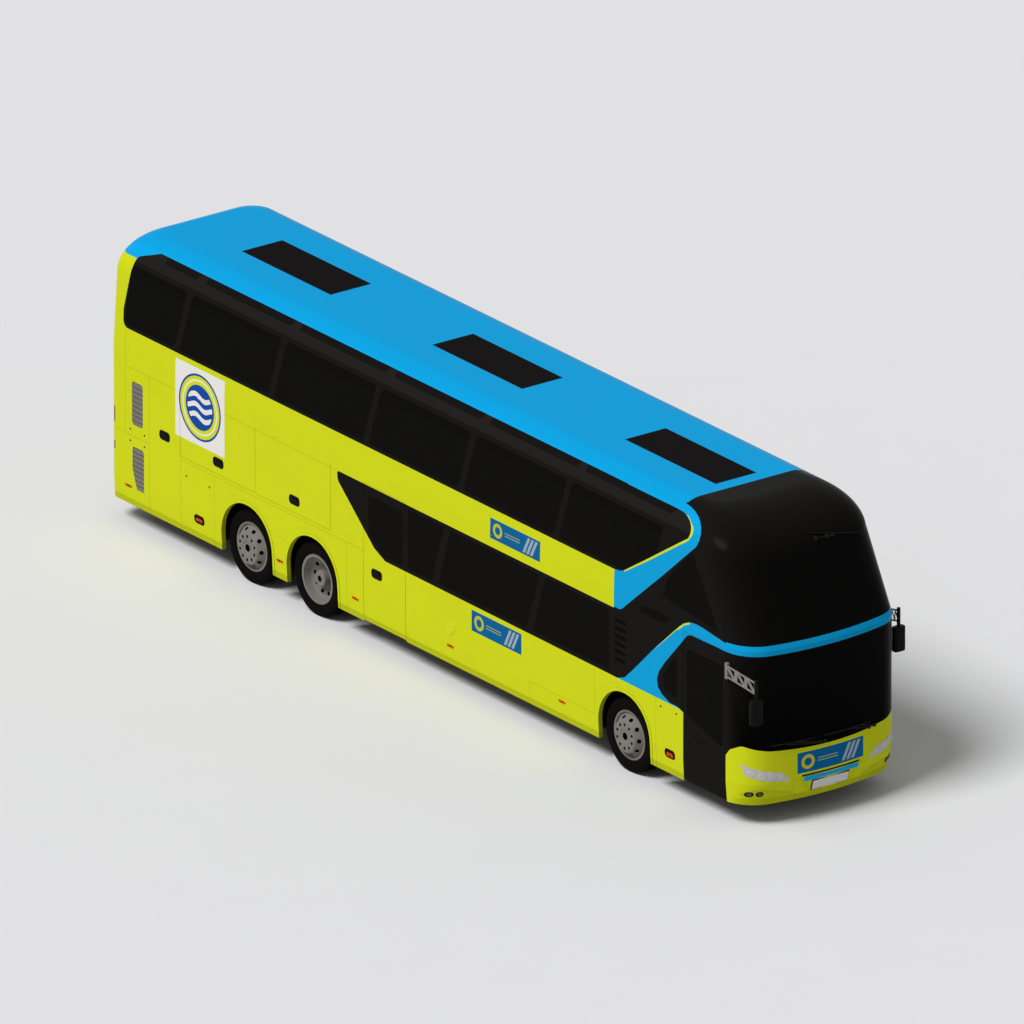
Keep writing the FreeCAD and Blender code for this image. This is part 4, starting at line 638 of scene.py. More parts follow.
dress(tail_lens(), "tail_lamps")
dress(mirror_finish(), "mirrors")
rim_single = rim_finish("rim_paint", FRONT_AXLE, 0.001)
rim_twin = rim_finish("rim_twin_paint", DRIVE_AXLE, 0.042)
tyre_rubber = plain("tyre_rubber", BLACK, 0.75, 0.02, scale=200.0)
for side in SIDES:
    dress(rim_single, "rim_front_" + side, "rim_tag_" + side)
    dress(rim_twin, "rims_drive_" + side)
    dress(tyre_rubber, "tyre_front_" + side, "tyres_drive_" + side, "tyre_tag_" + side)


# Pieces made of rings, tubes and turned outlines, laid on the body's skin

def skin_tree(nodes):
    corners, faces = [], []
    for node in nodes:
        mesh = NODES[node].data
        first = len(corners)
        corners += [vertex.co.copy() for vertex in mesh.vertices]
        faces += [[first + k for k in face.vertices] for face in mesh.polygons]
    return BVHTree.FromPolygons(corners, faces)


SKIN = skin_tree([node for node in NODES if node.startswith((
    "wall", "side_glass", "door", "flap", "front", "windscreen", "rear", "engine_lid", "roof", "skylights",
    "headlamps", "tail_lamps", "grilles"))])
FAR = 4.0


def cast(start, way, tree=SKIN):
    """Where a ray meets the skin, and the skin's normal there."""
    hit, normal, _, _ = tree.ray_cast(Vector(start), Vector(way))
    return hit, normal


def on_side(side):
    """Places on the right (-1) or left (1) side, from distance along and height."""
    return lambda x, z: cast((FRONT_AXLE + x, side * FAR, z), (0, -side, 0))


def on_front(y, z):
    return cast((FRONT_AXLE + FAR * 2, y, z), (-1, 0, 0))


def on_rear(y, z):
    return cast((FRONT_AXLE - FAR * 4, -y, z), (1, 0, 0))


LEAST_ROUND = 0.0005


def oval(centre, half_u, half_v, around, inset=0.0, turns=6):
    """Corners of a rounded rectangle, anticlockwise."""
    half_u, half_v, around = half_u - inset, half_v - inset, max(around - inset, LEAST_ROUND)
    points = []
    for quarter, (su, sv) in enumerate(((1, 1), (-1, 1), (-1, -1), (1, -1))):
        for turn in range(turns + 1):
            angle = math.pi / 2 * (quarter + turn / turns)
            points.append((centre[0] + su * (half_u - around) + around * math.cos(angle),
                           centre[1] + sv * (half_v - around) + around * math.sin(angle)))
    return points


SUNK = 0.002
RIBBON_SHARES = (-1, -0.6, 0.6, 1)
WELD = 0.00005


class Shape:
    """Corners and faces that grow into one piece."""

    def __init__(self):
        self.corners = []
        self.faces = []

    def rings(self, rings, close_start=False, close_end=True):
        """Quads between rings of equal count, with a fan over each end that closes."""
        first = len(self.corners)
        count = len(rings[0])
        for ring in rings:
            self.corners += [tuple(corner) for corner in ring]
        for level in range(len(rings) - 1):
            for k in range(count):
                a, b = first + level * count + k, first + level * count + (k + 1) % count
                self.faces.append((a, b, b + count, a + count))
        for close, level in ((close_start, 0), (close_end, len(rings) - 1)):
            if close:
                start = first + level * count
                hub = len(self.corners)
                ring = rings[level]
                self.corners.append(tuple(sum((Vector(corner) for corner in ring), Vector()) / count))
                for k in range(count):
                    pair = (start + k, start + (k + 1) % count)
                    self.faces.append(pair + (hub,) if level else pair[::-1] + (hub,))

    def plate(self, place, layers):
        """Outlines at rising heights above the skin, the last one closed."""
        rings = []
        for outline, height in layers:
            spots = [place(u, v) for u, v in outline]
            rings.append([hit + normal * height for hit, normal in spots])
        self.rings(rings)

    def button(self, place, centre, size, steps, turns=6):
        """A rounded plate of two half sizes and a corner radius, whose steps give inset and height."""
        self.plate(place, [(oval(centre, *size, inset, turns), height) for inset, height in steps])

    def strip(self, place, path, half, height):
        """A raised ribbon along a path on the skin."""
        first = len(self.corners)
        last = len(path) - 1
        for k, spot in enumerate(path):
            along = (Vector(path[min(k + 1, last)]) - Vector(path[max(k - 1, 0)])).normalized()
            across = Vector((-along.y, along.x)) * half
            for share, lift in zip(RIBBON_SHARES, (-SUNK, height, height, -SUNK)):
                hit, normal = place(spot[0] + across.x * share, spot[1] + across.y * share)
                self.corners.append(tuple(hit + normal * lift))
        for k in range(last):
            a, b = first + k * 4, first + (k + 1) * 4
            for side in range(3):
                self.faces.append((a + side, a + side + 1, b + side + 1, b + side))
        end = first + last * 4
        self.faces.append((first + 3, first + 2, first + 1, first))
        self.faces.append((end, end + 1, end + 2, end + 3))

    def tube(self, points, radius, sides=8):
        """A round bar along straight or bent runs, with closed ends."""
        points = [Vector(point) for point in points]
        rings = []
        guide = Vector((0.3, 0.5, 0.8)).normalized()
        for k, point in enumerate(points):
            along = (points[min(k + 1, len(points) - 1)] - points[max(k - 1, 0)]).normalized()
            first = along.cross(guide).normalized()
            second = along.cross(first)
            angles = [2 * math.pi * turn / sides for turn in range(sides)]
            rings.append([point + (first * math.cos(angle) + second * math.sin(angle)) * radius
                          for angle in angles])
        self.rings(rings, close_start=True)

    def turned(self, centre, profile, steps=96, wave=None):
        """An outline of radius and offset pairs, turned about the wheel's axis."""
        rings = []
        for turn in range(steps):
            angle = 2 * math.pi * turn / steps
            ring = []
            for k, (radius, offset) in enumerate(profile):
                reach = radius - (wave(turn, k) if wave else 0.0)
                ring.append(Vector((centre.x + reach * math.cos(angle), centre.y + offset,
                                    centre.z + reach * math.sin(angle))))
            rings.append(ring)
        first = len(self.corners)
        count = len(profile)
        for ring in rings:
            self.corners += [tuple(corner) for corner in ring]
        for turn in range(steps):
            a, b = first + turn * count, first + ((turn + 1) % steps) * count
            for k in range(count):
                nxt = (k + 1) % count
                self.faces.append((a + k, a + nxt, b + nxt, b + k))

    def done(self, name, material, body="coach", slot="black_plastic", sharp=35, merge=False):
        """Make the object and let it ride on a body. The slot is not used."""
        mesh = bpy.data.meshes.new(name)
        mesh.from_pydata(self.corners, [], self.faces)
        work = bmesh.new()
        work.from_mesh(mesh)
        if merge:
            bmesh.ops.remove_doubles(work, verts=work.verts, dist=WELD)
        bmesh.ops.recalc_face_normals(work, faces=work.faces)
        for face in work.faces:
            face.smooth = True
        work.to_mesh(mesh)
        work.free()
        mesh.set_sharp_from_angle(angle=math.radians(sharp))
        item = bpy.data.objects.new(name, mesh)
        bpy.context.scene.collection.objects.link(item)
        mesh.materials.append(material)
        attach(item, body)
        return item


# Fittings: half sizes and corner radius, then steps of inset and height above the skin

RECESS = ((0.0, -0.002), (0.0, 0.004), (0.006, 0.006), (0.016, 0.006), (0.022, 0.0015), (0.045, 0.0015))
HANDLE = ((0.115, 0.065, 0.05), RECESS)
GRIP = ((0.062, 0.018, 0.015), ((0.0, 0.0015), (0.0, 0.007), (0.004, 0.009)))
GRIP_UP = 0.012
LAMP_FRAME = ((0.11, 0.06, 0.05), RECESS)
LAMP_LENS = ((0.062, 0.0135, 0.006), ((0.0, 0.0015), (0.0, 0.008), (0.004, 0.011)))
LOCK = ((0.013, 0.013, 0.0125), ((0.0, -0.002), (0.0, 0.003), (0.003, 0.004)))
CAP = ((0.10, 0.10, 0.0995), ((0.0, -0.002), (0.0, 0.004), (0.004, 0.005), (0.012, 0.005),
                              (0.015, 0.001), (0.019, 0.001), (0.022, 0.006), (0.045, 0.007)))
CAP_GRIP = ((0.035, 0.012, 0.012), ((0.0, 0.004), (0.0, 0.011), (0.004, 0.013)))
CAP_GRIP_UP = 0.035
FOG_RIM = ((0.042, 0.034, 0.033), ((0.0, -0.002), (0.0, 0.006), (0.005, 0.008), (0.010, 0.006),
                                   (0.014, 0.002), (0.02, 0.001)))
FOG_LENS = ((0.024, 0.022, 0.0215), ((0.0, 0.0), (0.0, 0.005), (0.006, 0.009), (0.014, 0.011)))
BAR = ((0.435, 0.031, 0.028), ((0.0, -0.002), (0.0, 0.016), (0.006, 0.022), (0.018, 0.024)))
FRONT_PLATE = ((0.285, 0.066, 0.008), ((0.0, -0.002), (0.0, 0.014), (0.003, 0.016), (0.009, 0.016),
                                       (0.011, 0.0145), (0.02, 0.0145)))
FRONT_SURROUND = ((0.297, 0.078, 0.008), ((0.0, -0.002), (0.0, 0.007), (0.003, 0.009)))
REAR_PLATE = ((0.272, 0.062, 0.008), ((0.0, 0.0), (0.0, 0.005), (0.002, 0.006), (0.02, 0.0055)))
REAR_SURROUND = ((0.285, 0.075, 0.01), ((0.0, -0.002), (0.0, 0.002), (0.002, 0.003)))
REAR_MARK = ((0.09, 0.025, 0.01), ((0.0, -0.002), (0.0, 0.004), (0.004, 0.006)))
LID_HANDLE = ((0.115, 0.04, 0.035), RECESS)
PIVOT = ((0.026, 0.026, 0.0258), ((0.0, -0.002), (0.0, 0.024), (0.008, 0.030)))
MIRROR_PANE = ((0.05, 0.14, 0.025), ((0.0, -0.001), (0.0, 0.002), (0.004, 0.003)))

# Their places along and up, from the front axle and the ground
HANDLES = (("coach", -10.007, 1.503), ("flap_rear_right", -8.828, 1.501), ("flap_front_right", -7.159, 1.503),
           ("door_rear", -5.36, 1.038), ("door_front", 1.53, 0.907))
OVAL_LAMPS = ((-9.248, 0.567), (0.977, 0.577))
LOCKS = ((-10.767, 1.365), (-10.454, 1.365), (-10.767, 1.204), (-10.454, 1.204), (-9.53, 1.095),
         (-9.023, 1.095), (0.782, 1.178), (1.116, 1.178))
LEFT_LAMP_BACK = 0.08
FUEL_CAP = (-3.77, 0.80)
BULB_HALF = 0.012

trim_black = plain("trim_black", TRIM, 0.45, 0.02, scale=250.0)
amber = plain("amber_lens", AMBER, 0.3, 0.02, scale=90.0)
dress(trim_black, "wheel_houses")
dress(plain("slot_black", "0a0909", 0.6, 0.01, scale=250.0), "louvres")

# Middles of the marker lamps, as shares of the wheelbase
MARKER_SHARES = (-1.5968, -1.3664, -1.1049, -0.8612, -0.5554, -0.1987, 0.1448)


def marker_lens():
    """Amber lenses, each with a dark bulb in the middle."""
    s = Surface("marker_lens", 0.3, 0.02)
    s.ground(AMBER, 0.92, 1.0, 30.0)
    wheelbase = FRONT_AXLE - DRIVE_AXLE
    bulbs = least_of([(s.x - share * wheelbase).size() - BULB_HALF for share in MARKER_SHARES])
    s.layer(bulbs.within(0.015), AMBER_DARK)
    s.raise_by((s.x * MARKER_RIBS).math("SINE"), 0.0002)
    return s.done()


dress(marker_lens(), "marker_lamps")
paint_yellow = plain("paint_yellow", YELLOW, 0.3, 0.05, scale=120.0, relief=0.00005, spread=0.03)
paint_blue = plain("paint_blue", BLUE, 0.3, 0.05, scale=120.0, relief=0.00005, spread=0.03)
dark_metal = plain("dark_metal", "1c1b1a", 0.4, 0.03, scale=250.0)
bulb_glass = plain("bulb_glass", "bebcb9", 0.15, 0.15, scale=60.0, spread=0.05)
fog_glass = plain("fog_glass", "3c3c3a", 0.1, 0.5, scale=60.0, spread=0.05)
grille_paint = plain("grille_paint", GRILLE_GREY, 0.45, 0.02)
# Painted shadow for the walls and floors of the wheels' openings.
hole_shadow_black = plain("hole_shadow_black", HOLE_SHADOW, 0.9, 0.0, scale=60.0)
plate_white = plain("plate_white", "c9c9c9", 0.4, 0.1, scale=80.0, spread=0.02)
reflector = plain("reflector_red", RED, 0.25, 0.1, scale=400.0)
# Painted reflection: the mirror glass is coloured a pale blue-grey
mirror_painted_reflection = plain("mirror_painted_reflection", "9aa3ab", 0.08, 0.5, scale=6.0, relief=0.0, spread=0.05)


def side_fittings(side):
    place = on_side(side)
    names = "right" if side < 0 else "left"
    for body, x, z in HANDLES:
        if side > 0 and body.startswith("door"):
            continue
        handle = Shape()
        handle.button(place, (x, z), *HANDLE)
        handle.button(place, (x, z + GRIP_UP), *GRIP)
        name = "handle_%s_%d" % (names, round(-x * 10))
        handle.done(name, trim_black, body.replace("right", names))
    frames, lenses, dots, cap = Shape(), Shape(), Shape(), Shape()
    for x, z in OVAL_LAMPS:
        if side > 0 and x > 0:
            x = x - LEFT_LAMP_BACK
        frames.button(place, (x, z), *LAMP_FRAME)
        lenses.button(place, (x, z), *LAMP_LENS)
    for spot in LOCKS:
        dots.button(place, spot, *LOCK, turns=4)
    cap.button(place, FUEL_CAP, *CAP)
    cap.button(place, (FUEL_CAP[0], FUEL_CAP[1] + CAP_GRIP_UP), *CAP_GRIP)
    frames.done("lamp_frames_" + names, trim_black)
    lenses.done("amber_lenses_" + names, amber, slot="amber_lamp")
    dots.done("locks_" + names, trim_black)
    cap.done("fuel_cap_" + names, paint_yellow, slot="body_paint")


for side in (-1, 1):
    side_fittings(side)

# Fittings on the front: places across and up, with the bulbs' radii

BULBS = ((1.137, 0.778, 0.056), (1.026, 0.742, 0.062), (0.898, 0.718, 0.060), (0.770, 0.692, 0.050))
FOGS = ((1.125, 0.462), (1.018, 0.465))
BAR_UP, RECESS_UP, PLATE_UP = 0.592, 0.642, 0.472
RECESS_LONG, RECESS_STEPS, RECESS_HALF, RECESS_RISE = 0.92, 24, 0.014, 0.003
# Steps of a bulb, as shares of its radius and of its rise
BULB_RISE = 0.004
BULB_SHARES = ((0.0, 1.0), (0.08, 1.6), (0.16, 1.2), (0.22, 0.3), (0.5, 1.2), (0.8, 1.8))
ROUND_SHARE = 0.995


def lamp_ring(shape, y, z, radius):
    """A raised round bezel with a domed middle."""
    steps = [(radius * inset, BULB_RISE * height) for inset, height in BULB_SHARES]
    shape.button(on_front, (y, z), (radius, radius, radius * ROUND_SHARE), [(0.0, -SUNK)] + steps, turns=8)


def front_fittings():
    bulbs, fogs, rims, bar, lip, plate, surround = (Shape() for _ in range(7))
    for side in (-1, 1):
        for y, z, radius in BULBS:
            lamp_ring(bulbs, side * y, z, radius)
        for y, z in FOGS:
            rims.button(on_front, (side * y, z), *FOG_RIM)
            fogs.button(on_front, (side * y, z), *FOG_LENS)
    bar.button(on_front, (0.0, BAR_UP), *BAR, turns=5)
    path = [(RECESS_LONG * k / RECESS_STEPS - RECESS_LONG / 2, RECESS_UP) for k in range(RECESS_STEPS + 1)]
    lip.strip(on_front, path, RECESS_HALF, RECESS_RISE)
    plate.button(on_front, (0.0, PLATE_UP), *FRONT_PLATE)
    surround.button(on_front, (0.0, PLATE_UP), *FRONT_SURROUND)
    bulbs.done("lamp_bulbs", bulb_glass, slot="clear_lamp")
    rims.done("fog_rims", trim_black)
    fogs.done("fog_lenses", fog_glass, slot="clear_lamp")
    bar.done("blue_bar", paint_blue, slot="roof_paint")
    lip.done("bar_recess", dark_metal)
    plate.done("front_plate", plate_white, slot="grille_metal")
    surround.done("plate_surround", trim_black)


front_fittings()

# Fittings on the rear

REAR_PLATE_UP, LID_HANDLE_UP = 0.50, 0.76
REAR_MARK_AT = (0.98, 0.44)


def rear_fittings():
    plate, surround, marks, handle = (Shape() for _ in range(4))
    surround.button(on_rear, (0.0, REAR_PLATE_UP), *REAR_SURROUND)
    plate.button(on_rear, (0.0, REAR_PLATE_UP), *REAR_PLATE)
    for side in (-1, 1):
        marks.button(on_rear, (side * REAR_MARK_AT[0], REAR_MARK_AT[1]), *REAR_MARK)
    handle.button(on_rear, (0.0, LID_HANDLE_UP), *LID_HANDLE)
    surround.done("rear_plate_surround", trim_black)
    plate.done("rear_plate", plate_white, slot="grille_metal")
    marks.done("rear_reflectors", reflector, slot="red_lamp")
    handle.done("lid_handle", trim_black, "engine_lid")


rear_fittings()

# Wipers: blades that lie on the glass and arms that arch over it

BLADE_HALF, BLADE_RISE = 0.006, 0.010
HOLDER_RISE, HOLDER_RADIUS = 0.018, 0.007
ARM_RISE, ARM_RADIUS = 0.024, 0.009


def on_glass(path, lift):
    return [hit + normal * lift for hit, normal in (on_front(y, z) for y, z in path)]


def evenly(start, stop, steps=14):
    """Even steps from one place to another."""
    return [(start[0] + (stop[0] - start[0]) * k / steps, start[1] + (stop[1] - start[1]) * k / steps)
            for k in range(steps + 1)]


def wiper(blade, arms, name):
    """One blade from end to end, and its arms from pivot to blade."""
    rubber, frames = Shape(), Shape()
    path = evenly(*blade)
    rubber.strip(on_front, path, BLADE_HALF, BLADE_RISE)
    frames.tube(on_glass(path[1:-1], HOLDER_RISE), HOLDER_RADIUS)
    for arm in arms:
        frames.tube(on_glass(evenly(*arm), ARM_RISE), ARM_RADIUS)
        frames.button(on_front, arm[0], *PIVOT, turns=4)
    rubber.done(name + "_rubber", trim_black)
    frames.done(name + "_frame", dark_metal)


wiper(((0.0, 3.70), (0.87, 3.52)), (((0.30, 3.60), (0.44, 3.606)), ((0.13, 3.615), (0.43, 3.585))),
      "upper_wiper")
wiper(((-0.20, 1.14), (0.70, 1.13)), (((0.62, 1.06), (0.30, 1.135)), ((0.72, 1.06), (0.46, 1.13))),
      "lower_wiper_left")
wiper(((-0.95, 1.14), (-0.26, 1.14)), (((-0.12, 1.06), (-0.55, 1.135)), ((-0.20, 1.06), (-0.70, 1.13))),
      "lower_wiper_right")


# Mirror glass, in the rear faces of the heads, painted pale blue-grey as a painted reflection

# Side, distance ahead of the front axle and height of each head
MIRROR_HEADS = ((-1, 2.945, 1.811), (1, 2.35, 1.99))
MIRROR_OUT, BEHIND = 1.37, 1.0


def mirror_glass():
    glass = Shape()
    heads = skin_tree(["mirrors"])
    for side, ahead, up in MIRROR_HEADS:
        def place(y, z, start=FRONT_AXLE + ahead - BEHIND):
            return cast((start, y, z), (1, 0, 0), heads)
        glass.button(place, (side * MIRROR_OUT, up), *MIRROR_PANE)
    glass.done("mirror_glass", mirror_painted_reflection, slot="tinted_glass")


mirror_glass()

# Tyres and wheel fittings

BEAD, WIDEST, TREAD_HALF = 0.315, 0.15, 0.125
GROOVES = (0.085, 0.03, -0.03, -0.085)
GROOVE_DEEP, GROOVE_TOP, GROOVE_FOOT = 0.013, 0.0085, 0.006
CROWN = TYRE_R - 0.0006
SLOT_DEEP, SLOT_EVERY = 0.009, 4
# First and last corner of the profile on each shoulder of the tread
SHOULDERS = ((14, 18), (33, 37))
TYRE_STEPS = 128


def tyre_profile(centre_offset):
    """Radius and offset round the tyre, from inner bead to outer bead and back."""
    outer = [(BEAD, 0.108), (BEAD + 0.010, 0.1105), (BEAD + 0.020, 0.111), (BEAD + 0.0245, 0.118),
             (BEAD + 0.026, 0.130), (0.355, 0.1445), (0.385, 0.148), (0.405, WIDEST), (0.425, WIDEST - 0.001),
             (0.428, WIDEST), (0.436, WIDEST), (0.439, WIDEST - 0.001), (0.455, 0.1475), (0.472, 0.1435),
             (0.486, 0.137), (0.4955, 0.130), (0.4995, TREAD_HALF)]
    crown = [(TYRE_R - 0.0035, 0.118), (CROWN, 0.108)]
    top = list(crown)
    for at in GROOVES:
        top += [(CROWN, at + GROOVE_TOP), (TYRE_R - GROOVE_DEEP, at + GROOVE_FOOT),
                (TYRE_R - GROOVE_DEEP, at - GROOVE_FOOT), (CROWN, at - GROOVE_TOP)]
    top += [(radius, -offset) for radius, offset in reversed(crown)]
    inner = [(radius, -offset) for radius, offset in reversed(outer)]
    return [(radius, offset + centre_offset) for radius, offset in outer + top + inner]


def tread_wave(turn, k):
    """Cross slots in the shoulders of the tread."""
    on_shoulder = any(first <= k <= last for first, last in SHOULDERS)
    return SLOT_DEEP if on_shoulder and turn % SLOT_EVERY == 0 else 0.0


def tyre(node, body, centre, offsets):
    shape = Shape()
    for offset in offsets:
        shape.turned(centre, tyre_profile(offset), TYRE_STEPS, tread_wave)
    piece = shape.done(node + "_rubber", tyre_rubber, body, "rubber_tyre", sharp=28)
    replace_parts(piece, node)


# From the outer tyre's middle to the inner one's
TWIN = 0.335
for side, out in (("right", -1), ("left", 1)):
    single, twin = middle("tyre_front_" + side), middle("tyres_drive_" + side)
    twin.y = single.y
    tyre("tyre_front_" + side, "front_wheel_" + side, single, (0.0,))
    tyre("tyres_drive_" + side, "drive_wheels_" + side, twin, (0.0, -out * TWIN))
    tyre("tyre_tag_" + side, "tag_wheel_" + side, middle("tyre_tag_" + side), (0.0,))


# Wheel discs with round holes, and the drive wheels' dishes

# Corners of a panel's edge, a sixteenth of a turn apart, as shares of its half sizes
SIXTEENTH_SHARE = 0.414
PANEL = ((1, 0), (1, SIXTEENTH_SHARE), (1, 1), (SIXTEENTH_SHARE, 1), (0, 1), (-SIXTEENTH_SHARE, 1),
         (-1, 1), (-1, SIXTEENTH_SHARE), (-1, 0), (-1, -SIXTEENTH_SHARE), (-1, -1), (-SIXTEENTH_SHARE, -1),
         (0, -1), (SIXTEENTH_SHARE, -1), (1, -1), (1, -SIXTEENTH_SHARE))
HOLES = 10
HALF_PANEL = math.pi / HOLES
HOLE_DEEP = 0.014


class Wheel:
    """Rings, pierced panels, and hole walls and floors painted black as shadow, about one wheel's axis."""

    def __init__(self, node, out):
        self.centre = middle(node)
        self.out = out
        self.metal = Shape()
        self.hole_shadows = Shape()

    def spot(self, angle, radius, offset):
        return Vector((self.centre.x + radius * math.cos(angle), self.centre.y + self.out * offset,
                       self.centre.z + radius * math.sin(angle)))

    def hoops(self, pairs):
        """Turned surface through radius and offset pairs, whose corners meet the panels' corners."""
        parts = (-1, -SIXTEENTH_SHARE, 0, SIXTEENTH_SHARE)
        angles = [HALF_PANEL * (2 * k + part) for k in range(HOLES) for part in parts]
        self.metal.rings([[self.spot(angle, *pair) for angle in angles] for pair in pairs], close_end=False)

    def pierced(self, ring, offset, slope, half, hole, phase):
        """A band of equal panels, each with a round hole whose wall and floor are painted black as shadow."""
        for k in range(HOLES):
            at = HALF_PANEL * (2 * k + phase)

            def place(turn, along, deep=0.0, at=at):
                radius = ring + slope[0] * along + slope[1] * deep
                return self.spot(at + turn, radius, offset + slope[1] * along - slope[0] * deep)

            edge = [place(u * HALF_PANEL, v * half) for u, v in PANEL]
            spots = [(hole * u / math.hypot(u, v), hole * v / math.hypot(u, v)) for u, v in PANEL]
            brim = [place(u / ring, v) for u, v in spots]
            foot = [place(u / ring, v, HOLE_DEEP) for u, v in spots]
            self.metal.rings([edge, brim], close_end=False)
            self.hole_shadows.rings([brim, foot])

    def bore(self, radius, offset, sides=40):
        """A bore in the middle, its wall and floor painted black as shadow."""
        turns = [2 * math.pi * k / sides for k in range(sides)]
        self.hole_shadows.rings([[self.spot(turn, radius, offset - deep) for turn in turns]
                          for deep in (0.0, HOLE_DEEP)])

    def done(self, name, body, material):
        metal = self.metal.done(name, material, body, "rim_metal", merge=True)
        self.hole_shadows.done(name + "_holes", hole_shadow_black, body)
        return metal


# Outlines of radius and offset from the wheel's middle
BARREL = ((0.338, 0.114), (0.338, 0.124), (0.3345, 0.1280), (0.312, 0.1280), (0.306, 0.124), (0.301, 0.112),
          (0.299, 0.09), (0.299, -0.10), (0.306, -0.124), (0.312, -0.128), (0.338, -0.128), (0.338, -0.114),
          (0.3125, -0.112), (0.310, -0.10), (0.310, 0.10), (0.3125, 0.112))
CENTRE_PART = ((0.0505, 0.1995), (0.090, 0.1995), (0.0945, 0.2025), (0.0985, 0.2065),
               (0.1035, 0.2075), (0.118, 0.2075))
SHOULDER = ((0.208, 0.2075), (0.2125, 0.2065), (0.2168, 0.2045), (0.2205, 0.2028))
FOOT_PART = ((0.2795, 0.1172), (0.2835, 0.1120), (0.289, 0.108), (0.300, 0.106))
DISH_OUTER = ((0.269, 0.0111), (0.281, 0.020), (0.289, 0.035), (0.294, 0.07), (0.2995, 0.110), (0.303, 0.124))
DISH_INNER = ((0.108, -0.0345), (0.145, -0.0325), (0.165, -0.0275), (0.175, -0.0231))
# Pierced bands: radius and offset of the ring, its slope, half width, hole radius, turn in half panels
LUG_BAND = (0.163, 0.2075, (1.0, 0.0), 0.045, 0.0215, 1)
VENT_BAND = (0.250, 0.160, (0.568, -0.823), 0.0519, 0.030, 0)
DISH_BAND = (0.222, -0.006, (0.94, 0.342), 0.05, 0.029, 0)
BORE = (0.0510, 0.1995)


def single_wheel(node, body, out):
    wheel = Wheel(node.replace("rim_", "tyre_"), out)
    wheel.metal.turned(wheel.centre, [(radius, out * offset) for radius, offset in BARREL])
    wheel.hoops(CENTRE_PART)
    wheel.pierced(*LUG_BAND)
    wheel.hoops(SHOULDER)
    wheel.pierced(*VENT_BAND)
    wheel.hoops(FOOT_PART)
    wheel.bore(*BORE)
    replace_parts(wheel.done(node + "_disc", body, rim_single), node)


def drive_wheel(node, body, front_node, out):
    wheel = Wheel(node, out)
    wheel.centre.y = middle(front_node).y
    wheel.hoops(DISH_INNER)
    wheel.pierced(*DISH_BAND)
    wheel.hoops(DISH_OUTER)
    wheel.done(node + "_dish", body, rim_twin)


for side, out in (("right", -1), ("left", 1)):
    single_wheel("rim_front_" + side, "front_wheel_" + side, out)
    single_wheel("rim_tag_" + side, "tag_wheel_" + side, out)
    drive_wheel("rims_drive_" + side, "drive_wheels_" + side, "tyre_front_" + side, out)


# Louvred grilles: level slats, each with its foot proud of the next one's head

SLAT_PITCH = 0.066
SLAT_OUT, SLAT_IN, SLAT_BACK = 0.001, 0.025, 0.030
# Share of the pitch and depth of a slat's foot, middle and head
SLAT_SHARES = ((0.01, SLAT_OUT), (0.5, (SLAT_OUT + SLAT_IN) / 2), (0.99, SLAT_IN))


def crossing(mesh, level):
    """Ends of a CAD mesh along the coach, where it passes a level."""
    found = []
    for edge in mesh.edges:
        a, b = (mesh.vertices[k].co for k in edge.vertices)
        if min(a.z, b.z) <= level <= max(a.z, b.z) and a.z != b.z:
            found.append(a.x + (b.x - a.x) * (level - a.z) / (b.z - a.z))
    return min(found), max(found)


def levels(mesh):
    """Bottom and top of each of the pieces of a CAD mesh that stand over one another."""
    heights = sorted({round(vertex.co.z, 4) for vertex in mesh.vertices})
    breaks = [k for k in range(1, len(heights)) if heights[k] - heights[k - 1] > SLAT_PITCH * 2]
    starts = [0] + breaks
    stops = breaks + [len(heights)]
    return [(heights[start], heights[stop - 1]) for start, stop in zip(starts, stops)]


def louvred_grilles():
    slats = Shape()
    mesh = NODES["grilles"].data
    for low, high in levels(mesh):
        count = round((high - low) / SLAT_PITCH)
        pitch = (high - low) / count
        for k in range(count):
            rings = []
            for share, inset in SLAT_SHARES:
                level = low + pitch * (k + share)
                rear, front = crossing(mesh, level)
                y_out, y_in = -HALF + inset, -HALF + SLAT_BACK
                rings.append([Vector((rear, y_out, level)), Vector((front, y_out, level)),
                              Vector((front, y_in, level)), Vector((rear, y_in, level))])
            slats.rings(rings, close_start=True)
    piece = slats.done("grille_slats", grille_paint, slot="grille_metal")
    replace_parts(piece, "grilles")


louvred_grilles()

# Floor, light and camera

FLOOR_REACH = 400.0
WORLD_LIGHT = 0.30
SUN_LIGHT, SUN_SPREAD = 2.6, 25
SUN_FROM = Vector((0.0, -0.62, 0.87))
AZIMUTH, ELEVATION = math.radians(53.33), math.radians(21.61)
LENS, SENSOR = 1600.0, 36.0
PIXELS_PER_METRE = 77.26
PICTURE = 1024
MIDDLE_BACK = 2.69
# The picture's middle, from the face of the right front tyre
AIM_ACROSS, AIM_UP, TYRE_FACE = -1.508, 2.876, -1.20


def pale_floor():
    mesh = bpy.data.meshes.new("floor")
    corners = [(x * FLOOR_REACH, y * FLOOR_REACH, 0) for x, y in ((-1, -1), (1, -1), (1, 1), (-1, 1))]
    mesh.from_pydata(corners, [], [(0, 1, 2, 3)])
    floor = bpy.data.objects.new("floor", mesh)
    bpy.context.scene.collection.objects.link(floor)
    mesh.materials.append(plain("floor_pale", "e4e4e6", 0.8, 0.1, scale=8.0, relief=0.0, spread=0.01))


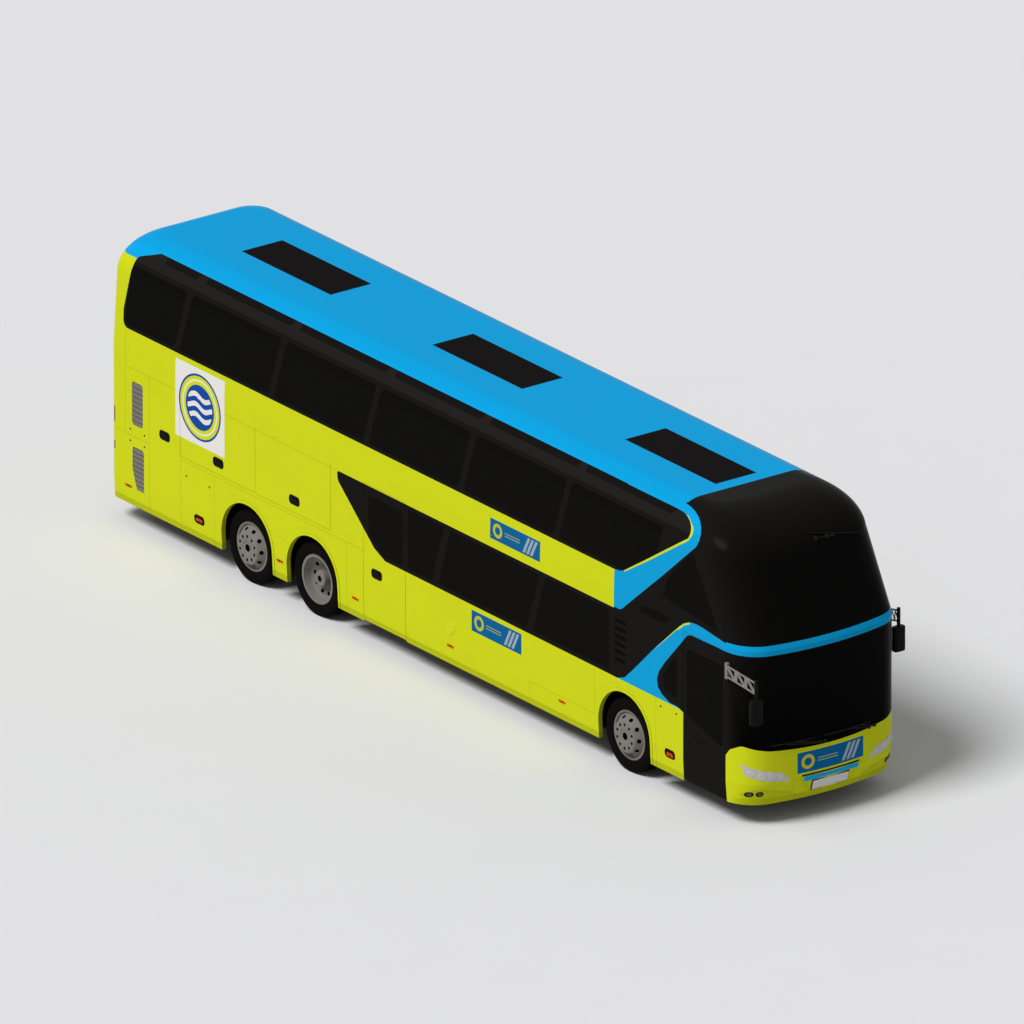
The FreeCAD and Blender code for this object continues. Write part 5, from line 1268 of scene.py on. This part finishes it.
def studio_world():
    world = bpy.data.worlds.new("studio")
    bpy.context.scene.world = world
    world.use_nodes = True
    tree = world.node_tree
    light = tree.nodes["Background"]
    light.inputs["Color"].default_value = (1.0, 1.0, 1.0, 1.0)
    light.inputs["Strength"].default_value = WORLD_LIGHT
    seen = tree.nodes.new("ShaderNodeBackground")
    seen.inputs["Color"].default_value = linear("e6e6e8")
    seen.inputs["Strength"].default_value = 1.0
    path = tree.nodes.new("ShaderNodeLightPath")
    camera = Field(tree, path.outputs["Is Camera Ray"])
    rays = camera.math("ADD", Field(tree, path.outputs["Is Glossy Ray"]))
    rays = rays.math("ADD", Field(tree, path.outputs["Is Transmission Ray"]), clamp=True)
    mix = tree.nodes.new("ShaderNodeMixShader")
    tree.links.new(rays.socket, mix.inputs[0])
    tree.links.new(light.outputs[0], mix.inputs[1])
    tree.links.new(seen.outputs[0], mix.inputs[2])
    tree.links.new(mix.outputs[0], tree.nodes["World Output"].inputs["Surface"])


def sun():
    lamp = bpy.data.lights.new("sun", "SUN")
    lamp.energy = SUN_LIGHT
    lamp.angle = math.radians(SUN_SPREAD)
    item = bpy.data.objects.new("sun", lamp)
    bpy.context.scene.collection.objects.link(item)
    item.rotation_mode = "QUATERNION"
    item.rotation_quaternion = SUN_FROM.to_track_quat("Z", "Y")


def camera():
    """A far camera with a long lens, at the photograph's angle."""
    data = bpy.data.cameras.new("camera")
    data.lens = LENS
    data.sensor_width = SENSOR
    back = Vector((math.sin(AZIMUTH) * math.cos(ELEVATION), -math.cos(AZIMUTH) * math.cos(ELEVATION),
                   math.sin(ELEVATION)))
    right = Vector((math.cos(AZIMUTH), math.sin(AZIMUTH), 0))
    up = back.cross(right)
    distance = PICTURE / PIXELS_PER_METRE * LENS / SENSOR
    target = Vector((FRONT_AXLE, TYRE_FACE, HUB)) + right * AIM_ACROSS + up * AIM_UP
    item = bpy.data.objects.new("camera", data)
    item.location = target + back * (distance - MIDDLE_BACK)
    item.rotation_mode = "QUATERNION"
    item.rotation_quaternion = back.to_track_quat("Z", "Y")
    data.clip_start = 1.0
    data.clip_end = distance * 3
    bpy.context.scene.collection.objects.link(item)
    bpy.context.scene.camera = item


pale_floor()
studio_world()
sun()
camera()
bpy.context.scene.view_settings.view_transform = "Standard"
